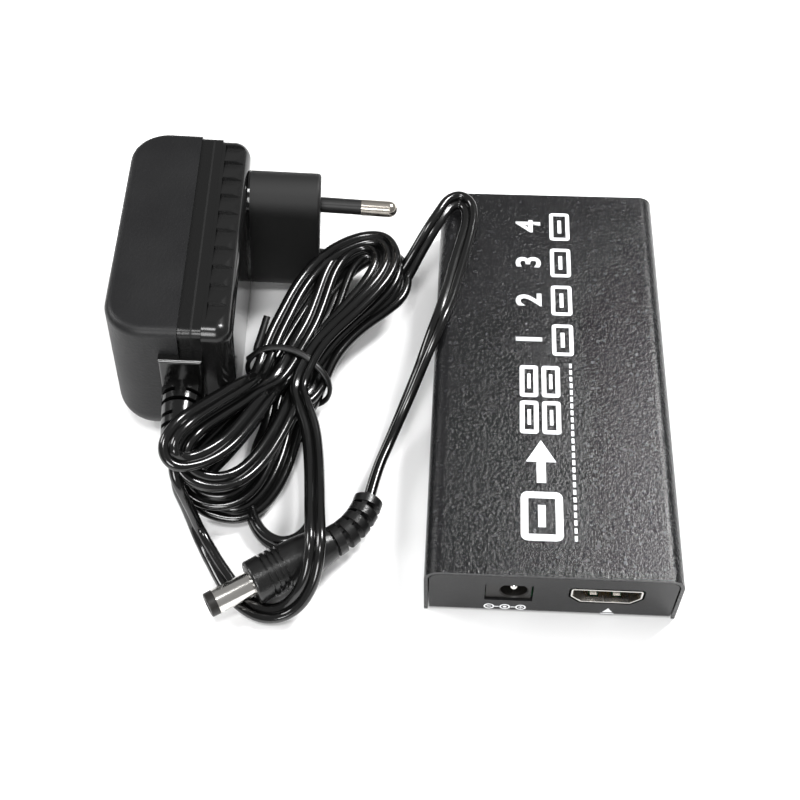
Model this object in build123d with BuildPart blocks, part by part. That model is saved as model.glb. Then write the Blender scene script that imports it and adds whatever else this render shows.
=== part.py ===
from build123d import *
from math import cos, pi, radians, sin, tan
import os

# Video splitter, one input and four outputs, with its plug-in power supply.
# Millimetres. The origin is the middle of the splitter's flat bottom, X runs along its
# front end from left to right, Y runs from that end to the far one, and Z is up.

# Splitter housing: a folded sheet cover over a tray with turned-up ends
box_width = 54.0
box_length = 110.0
box_height = 17.0
cover_sheet = 0.8
cover_fold_radius = 3.4
tray_sheet = 1.0
tray_side_gap = 0.35
tray_top_gap = 0.1
tray_bend_radius = 1.5
tray_corner_radius = 2.3
tab_length = 8.0
tab_reach = 7.4
tab_thickness = 1.2
tab_gap = 0.1

# Flat-head screws that go up through the tray into the tabs of the cover
cover_screw_inset = 4.2
cover_screw_from_end = 25.0
cover_screw_radius = 1.25
cover_screw_head_radius = 2.2
cover_screw_length = 3.8
screw_gap = 0.1

# Circuit board on four hexagonal standoffs
board_side_gap = 0.6
board_output_gap = 1.2
board_end_gap = 0.6
board_thickness = 1.6
standoff_height = 3.2
standoff_across = 5.0
standoff_bore = 1.5
board_screw_left_inset = 5.6
board_screw_right_inset = 5.0
board_screw_front_inset = 15.4
board_screw_back_inset = 4.9
board_screw_beside_input = 4.4
board_screw_radius = 1.4
board_screw_head_radius = 2.5
board_screw_head_height = 1.7
board_bottom = tray_sheet + standoff_height
board_top = board_bottom + board_thickness

# Socket of the full-size kind: stamped shell, leaf springs, tongue and nineteen contacts
socket_width = 14.9
socket_height = 5.5
socket_depth = 11.5
socket_wall = 0.35
socket_lift = 0.55
socket_flank = 3.2
socket_slope = 2.2
socket_corner_radius = 0.6
spring_offset = 2.45
spring_slot_width = 2.1
spring_width = 1.5
spring_root = 8.2
spring_tip = 1.5
spring_rise = 0.75
spring_sheet = 0.25
leg_width = 1.4
leg_end = 0.1
leg_places = [3.0, 9.0]
leg_slot_gap = 0.15
tongue_width = 11.2
tongue_bottom = 3.0
tongue_top = 4.1
tongue_front = 1.6
block_front = 7.5
block_back = 1.2
contact_width = 0.45
contact_thickness = 0.12
contact_pitch = 1.0
contact_front = 2.2
tail_width = 0.25
tail_length = 1.2
tail_thickness = 0.2
window_width = 16.0
window_height = 6.6
window_radius = 0.8

# Where the sockets are
input_x = 11.4
output_recess = 0.3
output_count = 4
first_output_from_front = 23.0
last_output_from_back = 18.0
input_clearance = 0.5

# Power jack beside the input socket
jack_left = -13.9
jack_right = -4.3
jack_height = 6.4
jack_depth = 14.0
jack_recess = 0.5
jack_hole_x = -8.0
jack_hole_radius = 2.85
jack_hole_depth = 10.0
jack_pin_radius = 1.0
jack_pin_reach = 8.6
jack_spring_sheet = 0.3
jack_spring_width = 3.0
jack_window_left = -14.1
jack_window_right = -3.95
jack_window_bottom = 5.5
jack_window_top = 12.35

# Components on the board, placed from its left edge, its front end and the output sockets
chip_side = 14.0
chip_height = 1.4
chip_y = 2.0
chip_gap = 0.5
driver_side = 5.0
driver_height = 0.9
driver_gap = 1.5
driver_shift = 3.0
package_bevel = 0.3
lead_width = 0.4
lead_length = 1.4
lead_thickness = 0.3
memory_length = 5.0
memory_width = 4.0
memory_height = 1.5
memory_inset = 14.6
memory_from_front = 31.0
memory_y_places = [26.0, 33.0]
memory_lead_pitch = 1.27
regulator_length = 6.5
regulator_width = 3.5
regulator_height = 1.7
regulator_inset = 7.6
regulator_from_front = 35.0
regulator_tab_width = 3.0
regulator_lead_pitch = 2.3
inductor_side = 8.0
inductor_corner_radius = 1.6
inductor_plate = 0.8
inductor_core_radius = 2.8
inductor_core_height = 2.4
inductor_cap_radius = 3.7
inductor_off_middle = 0.05
inductor_from_front = 47.0
can_radius = 3.15
can_height = 7.7
can_base = 1.0
can_inset = 7.6
can_y_places = [12.0, 21.0]
front_can_inset = 15.6
front_can_from_front = 22.0
can_base_margin = 0.4
can_groove = 0.4
can_groove_height = 0.9
can_edge = 0.3
crystal_length = 11.4
crystal_width = 4.8
crystal_height = 3.5
crystal_rim = 0.5
crystal_beside_chip = 3.0
crystal_behind_chip = 15.5
small_length = 2.0
small_width = 1.0
small_height = 0.8
small_pitch = 4.0
small_side_pitch = 3.0
small_spread = 19.0

# Power supply, drawn about its own frame: x towards the wall socket, y away from the
# cord along the housing, z up, from the middle of the face of the plug block
supply_origin = (-57.4, 40.2, 17.16)
supply_turn = 3.2
supply_roll = 5.0
supply_height = 39.0
supply_low_end = -50.7
supply_high_end = 12.2
supply_front = -45.8
strip_start = -29.3
parting = -26.3
strip_end = -24.2
supply_rear = -17.5
supply_nose_radius = 9.0
supply_edge_radius = 2.0
supply_foot_radius = 8.0
supply_band_radius = 3.4
supply_rear_radius = 3.8
strip_recess = 0.45
band_recess = 0.38
supply_wall = 2.0
notch_pitch = 5.58
notch_first = -41.3
notch_count = 10
notch_run = 5.3
notch_depth = 1.0
notch_from_strip = 0.8
block_length = 34.4
block_thickness = 13.0
pin_spacing = 18.6
pin_reach = 19.0
pin_root = 8.0
pin_radius = 2.0
pin_core_radius = 1.5
sleeve_radius = 1.9
sleeve_length = 10.0
sleeve_seat = 0.5
pin_lean = 1.66

# Gland in the lower end of the power supply
gland_axis_x = -28.9
gland_axis_z = 1.0
gland_width = 9.6
gland_block_bottom = -8.0
gland_block_top = 12.0
gland_block_radius = 0.8
gland_pocket_top = 16.6
gland_pocket_depth = 1.2
gland_flange = 2.0
gland_length = 13.0
gland_root_radius = 4.8
gland_tip_radius = 3.6
gland_slot_places = [1.8, 4.2, 7.7, 10.3]
gland_slot_width = 1.0
gland_core_radius = 2.1
gland_web = 2.4

# Low-voltage plug, its axis level above the surface
plug_face = (-64.32, -53.87, 6.2)
plug_heading = 33.2
plug_length = 19.6
plug_radius = 5.0
plug_neck_radius = 3.75
plug_shoulder = 10.6
plug_edge_radius = 0.7
plug_groove_places = [3.7, 5.1, 6.4, 7.6]
plug_groove_width = 0.5
plug_groove_depth = 0.5
barrel_radius = 2.75
barrel_wall = 0.3
barrel_reach = 10.3
barrel_root = 2.5
tip_collar = 1.9
tip_bore_radius = 1.55
contact_bore_radius = 1.1
relief_radius = 17.0
relief_turn = 48.0
relief_core_radius = 2.1
relief_ring_radius = 3.6
relief_ring_taper = 0.3
relief_ring_width = 1.9
relief_ring_count = 5
relief_spine_width = 1.2
relief_spine_radius = 3.05

# Flat twin cord, its free stretches drawn round with the same area of section
cord_radius = 1.55
arc_share = 0.45
tie_width = 2.4
tie_thickness = 1.1
hank_corner = 0.42

cord_lead_points = [
    (-82.53, -27.01, 20.67),
    (-82.37, -30.0, 20.67),
    (-82.9, -32.9, 18.4),
    (-83.7, -34.6, 13.8),
    (-84.0, -35.8, 8.6),
    (-83.0, -37.7, 4.3),
    (-80.3, -40.7, 2.1),
    (-76.2, -45.1, 1.6),
    (-71.2, -50.8, 1.7),
    (-66.9, -56.1, 1.6),
    (-60.8, -59.1, 1.7),
    (-55.2, -57.9, 3.4),
    (-52.0, -54.6, 9.0),
    (-50.3, -49.6, 15.2),
    (-49.6, -42.0, 15.1),
    (-50.2, -34.0, 11.2),
    (-51.4, -25.0, 7.4),
    (-52.6, -15.5, 6.2),
    (-55.6, -6.5, 6.6),
]
cord_loop_points = [
    (-69.5, -36.5, 4.6),
    (-66.0, -39.6, 1.9),
    (-62.0, -42.0, 1.6),
    (-57.6, -41.2, 1.7),
    (-54.6, -36.9, 1.6),
    (-53.3, -29.5, 1.7),
    (-53.0, -20.6, 1.6),
    (-54.3, -13.4, 2.6),
    (-58.4, -8.8, 5.6),
]
cord_run_points = [
    (-40.6, 27.0, 13.6),
    (-36.0, 31.6, 15.0),
    (-31.8, 36.3, 18.6),
    (-27.8, 41.0, 22.2),
    (-25.6, 45.2, 22.4),
    (-25.3, 49.0, 22.2),
    (-23.2, 51.1, 22.3),
    (-20.2, 51.1, 22.2),
    (-18.1, 49.0, 22.3),
    (-18.5, 45.0, 22.2),
    (-20.2, 38.2, 22.3),
    (-22.2, 29.0, 22.3),
    (-24.6, 18.6, 22.2),
    (-28.4, 9.6, 21.4),
    (-32.2, 2.8, 16.0),
    (-34.4, -2.8, 9.4),
    (-36.2, -9.4, 5.2),
    (-38.0, -17.0, 4.4),
    (-39.31, -24.3, 6.2),
    (-40.426, -31.515, 6.2),
]
# Left edge, right edge and thickness of the folded strands, from the lower end up
hank_lower_sections = [
    ((-79.3, -40.8, 15.3), (-68.8, -44.0, 6.0), 3.2),
    ((-80.5, -36.5, 17.2), (-64.8, -40.5, 4.8), 6.0),
    ((-77.8, -24.0, 18.3), (-59.6, -24.5, 5.0), 6.0),
    ((-71.6, -13.6, 14.2), (-56.2, -12.0, 5.2), 6.2),
]
hank_upper_sections = [
    ((-62.8, 22.0, 11.2), (-46.5, 16.0, 9.9), 6.0),
    ((-55.6, 33.0, 14.4), (-37.6, 28.0, 13.6), 6.0),
    ((-49.0, 42.0, 15.2), (-36.2, 38.4, 14.8), 5.4),
    ((-45.8, 45.2, 15.2), (-38.6, 43.2, 14.9), 3.0),
]
hank_neck = ((-71.0, -1.5, 9.2), (-54.2, -4.0, 5.4), 7.0)
hank_neck_length = 4.0

os.makedirs("parts", exist_ok=True)

inner_half_width = box_width / 2 - cover_sheet
tray_width = 2 * (inner_half_width - tray_side_gap)
tray_height = box_height - cover_sheet - tray_top_gap
front = -box_length / 2
back = box_length / 2
tab_bottom = tray_sheet + tab_gap
cover_screw_x = inner_half_width - cover_screw_inset
cover_screw_y = back - cover_screw_from_end
cover_screw_places = [
    (x, y) for x in (-cover_screw_x, cover_screw_x) for y in (-cover_screw_y, cover_screw_y)
]
board_left = board_side_gap - inner_half_width
board_right = inner_half_width - board_output_gap
board_half_length = back - tray_sheet - board_end_gap
board_screw_front = board_screw_front_inset - board_half_length
board_screw_back = board_half_length - board_screw_back_inset
board_screw_places = [
    (board_left + board_screw_left_inset, board_screw_front),
    (input_x - board_screw_beside_input, board_screw_front),
    (board_left + board_screw_left_inset, board_screw_back),
    (board_right - board_screw_right_inset, board_screw_back),
]
output_face = inner_half_width - output_recess
first_output = front + first_output_from_front
output_pitch = (back - last_output_from_back - first_output) / (output_count - 1)
output_y_places = [first_output + number * output_pitch for number in range(output_count)]
socket_bottom = board_top + socket_lift
socket_middle = socket_bottom + socket_height / 2

input_place = Location((input_x, front, board_top))
output_places = [Location((output_face, y, board_top), (0, 0, 90)) for y in output_y_places]


# Splitter housing

with BuildPart() as top_cover:
    Box(box_width, box_length, box_height, align=(Align.CENTER, Align.CENTER, Align.MIN))
    fillet(top_cover.faces().sort_by(Axis.Z)[-1].edges().filter_by(Axis.Y), cover_fold_radius)
    open_faces = top_cover.faces().sort_by(Axis.Z)[:1] + top_cover.faces().filter_by(Axis.Y)
    offset(amount=-cover_sheet, openings=open_faces)
    for side in (-1, 1):
        for y in (-cover_screw_y, cover_screw_y):
            with Locations((side * (inner_half_width - tab_reach / 2), y, tab_bottom)):
                Box(tab_reach, tab_length, tab_thickness, align=(Align.CENTER, Align.CENTER, Align.MIN))
    with BuildSketch(Plane.XY.offset(tab_bottom)):
        with Locations(*cover_screw_places):
            Circle(cover_screw_radius + screw_gap)
    extrude(amount=tab_thickness, mode=Mode.SUBTRACT)
    with BuildSketch(Plane.YZ.offset(box_width / 2)):
        with Locations(*[(y, socket_middle) for y in output_y_places]):
            RectangleRounded(window_width, window_height, window_radius)
    extrude(amount=-2 * cover_sheet, mode=Mode.SUBTRACT)
top_cover.part.label = "top_cover"
export_step(top_cover.part, "parts/top_cover.step")


def socket_form(inset, depth):
    """Solid of the socket's outline, its lower corners sloped, that runs back from its mouth."""
    half = socket_width / 2
    top = socket_lift + socket_height
    slope_top = top - socket_flank
    slope_foot = half - socket_slope
    with BuildPart() as form:
        with BuildSketch(Plane.XZ) as outline:
            with BuildLine():
                Polyline(
                    (-half, top),
                    (half, top),
                    (half, slope_top),
                    (slope_foot, socket_lift),
                    (-slope_foot, socket_lift),
                    (-half, slope_top),
                    close=True,
                )
            make_face()
            fillet(outline.vertices(), socket_corner_radius)
            if inset:
                offset(amount=-inset)
        extrude(amount=-depth)
    return form.part


with BuildPart() as base_tray:
    Box(tray_width, box_length, tray_height, align=(Align.CENTER, Align.CENTER, Align.MIN))
    fillet(base_tray.faces().sort_by(Axis.Z)[0].edges().filter_by(Axis.X), tray_bend_radius)
    open_faces = base_tray.faces().sort_by(Axis.Z)[-1:] + base_tray.faces().filter_by(Axis.X)
    offset(amount=-tray_sheet, openings=open_faces)
    top_corners = base_tray.edges().filter_by(Axis.Y).filter_by(lambda e: e.length < 2 * tray_sheet)
    fillet(top_corners.group_by(Axis.Z)[-1], tray_corner_radius)
    with BuildSketch(Plane.XZ.offset(-front)):
        with Locations(((jack_window_left + jack_window_right) / 2, jack_window_bottom)):
            Rectangle(
                jack_window_right - jack_window_left,
                jack_window_top - jack_window_bottom,
                align=(Align.CENTER, Align.MIN),
            )
    extrude(amount=-tray_sheet, mode=Mode.SUBTRACT)
    add(input_place * socket_form(-input_clearance, tray_sheet), mode=Mode.SUBTRACT)
    with Locations(Plane(origin=(0, 0, 0), x_dir=(1, 0, 0), z_dir=(0, 0, -1))):
        with Locations(*cover_screw_places):
            CounterSinkHole(
                cover_screw_radius + screw_gap,
                cover_screw_head_radius + screw_gap,
                depth=tray_sheet,
                counter_sink_angle=90,
            )
base_tray.part.label = "base_tray"
export_step(base_tray.part, "parts/base_tray.step")

head_height = cover_screw_head_radius - cover_screw_radius
for number, place in enumerate(cover_screw_places, start=1):
    with BuildPart() as cover_screw:
        with BuildSketch(Plane.XZ):
            with BuildLine():
                Polyline(
                    (0, 0),
                    (cover_screw_head_radius, 0),
                    (cover_screw_radius, head_height),
                    (cover_screw_radius, cover_screw_length),
                    (0, cover_screw_length),
                    close=True,
                )
            make_face()
        revolve(axis=Axis.Z)
        with BuildSketch():
            Rectangle(2.2, 0.5)
            Rectangle(0.5, 2.2)
        extrude(amount=0.6, mode=Mode.SUBTRACT)
    cover_screw.part = Location((place[0], place[1], 0)) * cover_screw.part
    cover_screw.part.label = f"cover_screw_{number}"
    export_step(cover_screw.part, f"parts/cover_screw_{number}.step")


# Circuit board and what carries it

with BuildPart() as board_standoffs:
    with BuildSketch(Plane.XY.offset(tray_sheet)):
        with Locations(*board_screw_places):
            RegularPolygon(standoff_across / 2, 6, major_radius=False)
            Circle(standoff_bore, mode=Mode.SUBTRACT)
    extrude(amount=standoff_height)
board_standoffs.part.label = "board_standoffs"
export_step(board_standoffs.part, "parts/board_standoffs.step")

with BuildPart() as board_screws:
    with BuildSketch(Plane.XY.offset(board_top)):
        with Locations(*board_screw_places):
            Circle(board_screw_head_radius)
    extrude(amount=board_screw_head_height)
    fillet(board_screws.faces().group_by(Axis.Z)[-1].edges(), 0.8)
    with BuildSketch(Plane.XY.offset(board_top)):
        with Locations(*board_screw_places):
            Circle(board_screw_radius)
    extrude(amount=-board_thickness - 2)
board_screws.part.label = "board_screws"
export_step(board_screws.part, "parts/board_screws.step")

leg_slot_places = [
    (side * (socket_width - socket_wall) / 2, depth) for side in (-1, 1) for depth in leg_places
]
with BuildPart() as leg_slots:
    with BuildSketch(Plane.XY.offset(-board_thickness)):
        with Locations(*leg_slot_places):
            Rectangle(socket_wall + 2 * leg_slot_gap, leg_width + 2 * leg_slot_gap)
    extrude(amount=board_thickness)

with BuildPart() as circuit_board:
    with BuildSketch(Plane.XY.offset(board_bottom)):
        with Locations(((board_left + board_right) / 2, 0)):
            Rectangle(board_right - board_left, 2 * board_half_length)
        with Locations(*board_screw_places):
            Circle(board_screw_radius + screw_gap, mode=Mode.SUBTRACT)
    extrude(amount=board_thickness)
    for place in [input_place] + output_places:
        add(place * leg_slots.part, mode=Mode.SUBTRACT)
circuit_board.part.label = "circuit_board"
export_step(circuit_board.part, "parts/circuit_board.step")


# Sockets, each drawn about the middle of its mouth at the level of the board

def leaf_springs(level, inward):
    """Pair of leaves that start in one wall of the shell and bow into the mouth."""
    with BuildPart() as leaves:
        for side in (-1, 1):
            with BuildSketch(Plane.YZ.offset(side * spring_offset)):
                with BuildLine():
                    Polyline(
                        (spring_root, level),
                        (2 * spring_tip, level + inward * spring_rise),
                        (spring_tip, level + inward * spring_rise / 3),
                        (spring_tip, level + inward * (spring_rise / 3 + spring_sheet)),
                        (2 * spring_tip, level + inward * (spring_rise + spring_sheet)),
                        (spring_root, level + inward * spring_sheet),
                        close=True,
                    )
                make_face()
            extrude(amount=spring_width / 2, both=True)
    return leaves.part


def socket_shell():
    """Stamped shell with spring windows, leaf springs and four solder legs."""
    top = socket_lift + socket_height
    slot_length = spring_root - spring_tip + 0.3
    slot_middle = spring_root - slot_length / 2
    with BuildPart() as shell:
        add(socket_form(0, socket_depth))
        add(socket_form(socket_wall, socket_depth), mode=Mode.SUBTRACT)
        with BuildSketch(Plane.XY.offset(socket_lift)):
            with Locations((-spring_offset, slot_middle), (spring_offset, slot_middle)):
                Rectangle(spring_slot_width, slot_length)
        extrude(amount=socket_height, mode=Mode.SUBTRACT)
        add(leaf_springs(socket_lift, 1))
        add(leaf_springs(top, -1))
        with BuildSketch(Plane.XY.offset(top - socket_flank)):
            with Locations(*leg_slot_places):
                Rectangle(socket_wall, leg_width)
        extrude(amount=-(top - socket_flank) - board_thickness - leg_end)
    return shell.part


def socket_tongue():
    """Moulded block that closes the shell, with the tongue that carries the contacts."""
    with BuildPart() as tongue:
        add(Pos(0, block_front, 0) * socket_form(socket_wall, socket_depth - block_front))
        with BuildSketch(Plane.XZ.offset(-socket_depth)):
            Rectangle(socket_width, socket_lift + socket_height - 0.3, align=(Align.CENTER, Align.MIN))
        extrude(amount=-block_back)
        with BuildSketch(Plane.XY.offset(tongue_bottom)):
            with Locations((0, tongue_front)):
                Rectangle(tongue_width, block_front - tongue_front, align=(Align.CENTER, Align.MIN))
        extrude(amount=tongue_top - tongue_bottom)
        nose = tongue.faces().sort_by(Axis.Y)[0].edges().filter_by(Axis.X)
        chamfer(nose, 0.3)
    return tongue.part


def socket_contacts():
    """Ten contacts on the tongue and nine under it, and their solder tails."""
    contact_length = block_front - contact_front
    with BuildPart() as contacts:
        for level, count in ((tongue_top, 10), (tongue_bottom - contact_thickness, 9)):
            with BuildSketch(Plane.XY.offset(level)):
                with Locations((0, contact_front + contact_length / 2)):
                    with GridLocations(contact_pitch, 1, count, 1):
                        Rectangle(contact_width, contact_length)
            extrude(amount=contact_thickness)
        with BuildSketch():
            with Locations((0, socket_depth + block_back + tail_length / 2)):
                with GridLocations(contact_pitch / 2, 1, 19, 1):
                    Rectangle(tail_width, tail_length)
        extrude(amount=tail_thickness)
    return contacts.part


socket_pieces = {
    "shell": socket_shell(),
    "tongue": socket_tongue(),
    "contacts": socket_contacts(),
}
socket_places = {"input_socket": input_place}
for number, place in enumerate(output_places, start=1):
    socket_places[f"output_socket_{number}"] = place
for socket_name, place in socket_places.items():
    for piece_name, piece in socket_pieces.items():
        node = f"{socket_name}_{piece_name}"
        with BuildPart() as socket_piece:
            add(place * piece)
        socket_piece.part.label = node
        export_step(socket_piece.part, f"parts/{node}.step")


# Power jack

jack_front = front + jack_recess
jack_axis_z = board_top + jack_height / 2
jack_mouth = Plane(origin=(jack_hole_x, jack_front, jack_axis_z), x_dir=(1, 0, 0), z_dir=(0, 1, 0))
spring_x = jack_hole_x - jack_hole_radius

with BuildPart() as dc_jack_body:
    with BuildSketch(Plane.XY.offset(board_top)):
        with Locations((jack_left, jack_front)):
            Rectangle(jack_right - jack_left, jack_depth, align=(Align.MIN, Align.MIN))
    extrude(amount=jack_height)
    with BuildSketch(jack_mouth):
        Circle(jack_hole_radius)
    extrude(amount=jack_hole_depth, mode=Mode.SUBTRACT)
    chamfer(dc_jack_body.faces().sort_by(Axis.Y)[0].edges().filter_by(GeomType.CIRCLE), 0.3)
    with Locations((spring_x - jack_spring_sheet, jack_front + 2.0, jack_axis_z)):
        Box(
            3 * jack_spring_sheet,
            jack_hole_depth,
            jack_spring_width,
            align=(Align.MIN, Align.MIN, Align.CENTER),
            mode=Mode.SUBTRACT,
        )
dc_jack_body.part.label = "dc_jack_body"
export_step(dc_jack_body.part, "parts/dc_jack_body.step")

with BuildPart() as dc_jack_pin:
    with BuildSketch(jack_mouth.offset(jack_hole_depth - jack_pin_reach)):
        Circle(jack_pin_radius)
    extrude(amount=jack_pin_reach)
    fillet(dc_jack_pin.faces().sort_by(Axis.Y)[0].edges(), 0.7)
dc_jack_pin.part.label = "dc_jack_pin"
export_step(dc_jack_pin.part, "parts/dc_jack_pin.step")

with BuildPart() as dc_jack_spring:
    with BuildSketch(Plane.XY.offset(jack_axis_z)):
        with BuildLine():
            Polyline(
                (spring_x - jack_spring_sheet, jack_front + jack_hole_depth + 2.0),
                (spring_x - jack_spring_sheet, jack_front + 2.3),
                (spring_x, jack_front + 2.3),
                (spring_x + 0.5, jack_front + 4.5),
                (spring_x + 0.5 + jack_spring_sheet, jack_front + 5.5),
                (spring_x, jack_front + jack_hole_depth - 1.0),
                (spring_x, jack_front + jack_hole_depth + 2.0),
                close=True,
            )
        make_face()
    extrude(amount=jack_spring_width / 2, both=True)
dc_jack_spring.part.label = "dc_jack_spring"
export_step(dc_jack_spring.part, "parts/dc_jack_spring.step")


# Components on the board

def flat_package(places, length, width, height, bevel):
    """Moulded packages that lie flat on the board."""
    with BuildPart() as package:
        with BuildSketch(Plane.XY.offset(board_top)):
            with Locations(*places):
                Rectangle(length, width)
        extrude(amount=height)
        chamfer(package.faces().group_by(Axis.Z)[-1].edges(), bevel)
    return package.part


socket_tails_end = output_face - socket_depth - block_back - tail_length
driver_x = socket_tails_end - driver_gap - driver_side / 2
chip_x = driver_x - driver_side / 2 - chip_gap - chip_side / 2

with BuildPart() as splitter_chip:
    add(flat_package([(chip_x, chip_y)], chip_side, chip_side, chip_height, package_bevel))
splitter_chip.part.label = "splitter_chip"
export_step(splitter_chip.part, "parts/splitter_chip.step")

with BuildPart() as port_driver_chips:
    driver_places = [(driver_x, y + driver_shift) for y in output_y_places]
    add(flat_package(driver_places, driver_side, driver_side, driver_height, package_bevel / 2))
port_driver_chips.part.label = "port_driver_chips"
export_step(port_driver_chips.part, "parts/port_driver_chips.step")

memory_x = board_left + memory_inset
memory_places = [(memory_x, front + memory_from_front)] + [(memory_x, y) for y in memory_y_places]
memory_lead_spread = memory_width + lead_length - 2 * lead_width

with BuildPart() as memory_chips:
    add(flat_package(memory_places, memory_length, memory_width, memory_height, package_bevel))
    with BuildSketch(Plane.XY.offset(board_top)):
        with Locations(*memory_places):
            with GridLocations(memory_lead_pitch, memory_lead_spread, 4, 2):
                Rectangle(lead_width, lead_length)
    extrude(amount=lead_thickness)
memory_chips.part.label = "memory_chips"
export_step(memory_chips.part, "parts/memory_chips.step")

regulator_place = (board_left + regulator_inset, front + regulator_from_front)
regulator_lead_y = regulator_place[1] - regulator_width / 2 - lead_length / 2 + lead_width
regulator_tab_y = regulator_place[1] + regulator_width / 2 + lead_length / 2 - lead_width

with BuildPart() as regulator:
    add(
        flat_package(
            [regulator_place], regulator_length, regulator_width, regulator_height, package_bevel
        )
    )
    with BuildSketch(Plane.XY.offset(board_top)):
        with Locations((regulator_place[0], regulator_tab_y)):
            Rectangle(regulator_tab_width, lead_length)
        with Locations((regulator_place[0], regulator_lead_y)):
            with GridLocations(regulator_lead_pitch, 1, 3, 1):
                Rectangle(2 * lead_width, lead_length)
    extrude(amount=lead_thickness)
regulator.part.label = "regulator"
export_step(regulator.part, "parts/regulator.step")

# The inductor stands midway between the board's left edge and the capacitors by the chip
capacitors_left = chip_x - 1.5 * small_pitch - small_width / 2
inductor_x = (board_left + capacitors_left) / 2 + inductor_off_middle
inductor_place = (inductor_x, front + inductor_from_front)
inductor_core_bottom = board_top + inductor_plate
inductor_cap_bottom = inductor_core_bottom + inductor_core_height

with BuildPart() as power_inductor:
    with BuildSketch(Plane.XY.offset(board_top)):
        with Locations(inductor_place):
            RectangleRounded(inductor_side, inductor_side, inductor_corner_radius)
    extrude(amount=inductor_plate)
    with BuildSketch(Plane.XY.offset(inductor_core_bottom)):
        with Locations(inductor_place):
            Circle(inductor_core_radius)
    extrude(amount=inductor_core_height)
    with BuildSketch(Plane.XY.offset(inductor_cap_bottom)):
        with Locations(inductor_place):
            Circle(inductor_cap_radius)
    extrude(amount=inductor_plate)
power_inductor.part.label = "power_inductor"
export_step(power_inductor.part, "parts/power_inductor.step")


def capacitor_can(radius, height, base_height):
    """Can with the crimp near its foot, standing on its moulded base."""
    with BuildPart() as can:
        with BuildSketch():
            Rectangle(2 * radius + can_base_margin, 2 * radius + can_base_margin)
        extrude(amount=base_height)
        chamfer(can.edges().filter_by(Axis.Z), 2 * can_base_margin)
        groove_bottom = base_height + can_groove_height
        with BuildSketch(Plane.XZ):
            with BuildLine():
                Polyline(
                    (0, base_height),
                    (radius, base_height),
                    (radius, groove_bottom),
                    (radius - can_groove, groove_bottom + can_edge),
                    (radius, groove_bottom + 2 * can_edge),
                    (radius, height - can_edge),
                    (radius - can_edge, height),
                    (0, height),
                    close=True,
                )
            make_face()
        revolve(axis=Axis.Z)
    return can.part


can_places = [(board_left + can_inset, y) for y in can_y_places]
can_places.append((board_left + front_can_inset, front + front_can_from_front))

with BuildPart() as capacitor_cans:
    for place in can_places:
        add(Pos(place[0], place[1], board_top) * capacitor_can(can_radius, can_height, can_base))
capacitor_cans.part.label = "capacitor_cans"
export_step(capacitor_cans.part, "parts/capacitor_cans.step")

crystal_place = (chip_x - crystal_beside_chip, chip_y + crystal_behind_chip)

with BuildPart() as crystal:
    with BuildSketch(Plane.XY.offset(board_top)):
        with Locations(crystal_place):
            SlotOverall(crystal_length, crystal_width)
    extrude(amount=crystal_rim)
    with BuildSketch(Plane.XY.offset(board_top)):
        with Locations(crystal_place):
            SlotOverall(crystal_length - 2 * crystal_rim, crystal_width - 2 * crystal_rim)
    extrude(amount=crystal_height)
    chamfer(crystal.faces().sort_by(Axis.Z)[-1].edges(), crystal_rim)
crystal.part.label = "crystal"
export_step(crystal.part, "parts/crystal.step")

with BuildPart() as chip_capacitors:
    with BuildSketch(Plane.XY.offset(board_top)):
        with Locations((chip_x, chip_y)):
            with GridLocations(small_pitch, small_spread, 4, 2):
                Rectangle(small_width, small_length)
            with GridLocations(small_spread, small_side_pitch, 2, 3):
                Rectangle(small_length, small_width)
    extrude(amount=small_height)
chip_capacitors.part.label = "chip_capacitors"
export_step(chip_capacitors.part, "parts/chip_capacitors.step")


# Power supply

supply_axes = Plane.XY.rotated((0, 0, supply_turn))
supply_lean = Vector(
    cos(radians(supply_turn)) * cos(radians(supply_roll)),
    sin(radians(supply_turn)) * cos(radians(supply_roll)),
    -sin(radians(supply_roll)),
)
supply_up = supply_lean.cross(supply_axes.y_dir)
supply_place = Plane(origin=supply_origin, x_dir=supply_lean, z_dir=supply_up).location
supply_middle = (supply_low_end + supply_high_end) / 2
supply_length = supply_high_end - supply_low_end


def across_supply(x):
    """Plane across the housing, its x along the housing and its y up."""
    return Plane(origin=(x, supply_middle, 0), x_dir=(0, 1, 0), z_dir=(1, 0, 0))


def outer_half(inset):
    """Deep half with a rounded nose and softened edges, inset all round but at its mouth."""
    with BuildPart() as half:
        with BuildSketch(Plane.XY.offset(-supply_height / 2 + inset)) as plan:
            with Locations((supply_front + inset, supply_middle)):
                Rectangle(
                    strip_start - supply_front - inset,
                    supply_length - 2 * inset,
                    align=(Align.MIN, Align.CENTER),
                )
            fillet(plan.vertices().group_by(Axis.X)[0], supply_nose_radius - inset)
        extrude(amount=supply_height - 2 * inset)
        lower_rim = half.faces().sort_by(Axis.Z)[0].edges().sort_by(Axis.X)[:-1]
        fillet(lower_rim, supply_foot_radius - inset)
        if inset < supply_edge_radius:
            upper_rim = half.faces().sort_by(Axis.Z)[-1].edges().sort_by(Axis.X)[:-1]
            fillet(upper_rim, supply_edge_radius - inset)
    return half.part


def strip(start, end, inset, rim_radius):
    """Length of housing of even section, rounder at its foot than at its upper rim."""
    with BuildPart() as band:
        with BuildSketch(across_supply(start)) as section:
            Rectangle(supply_length - 2 * inset, supply_height - 2 * inset)
            fillet(section.vertices().group_by(Axis.Y)[-1], rim_radius - inset / 2)
            fillet(section.vertices().group_by(Axis.Y)[0], supply_foot_radius - inset)
        extrude(amount=end - start)
    return band.part


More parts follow.
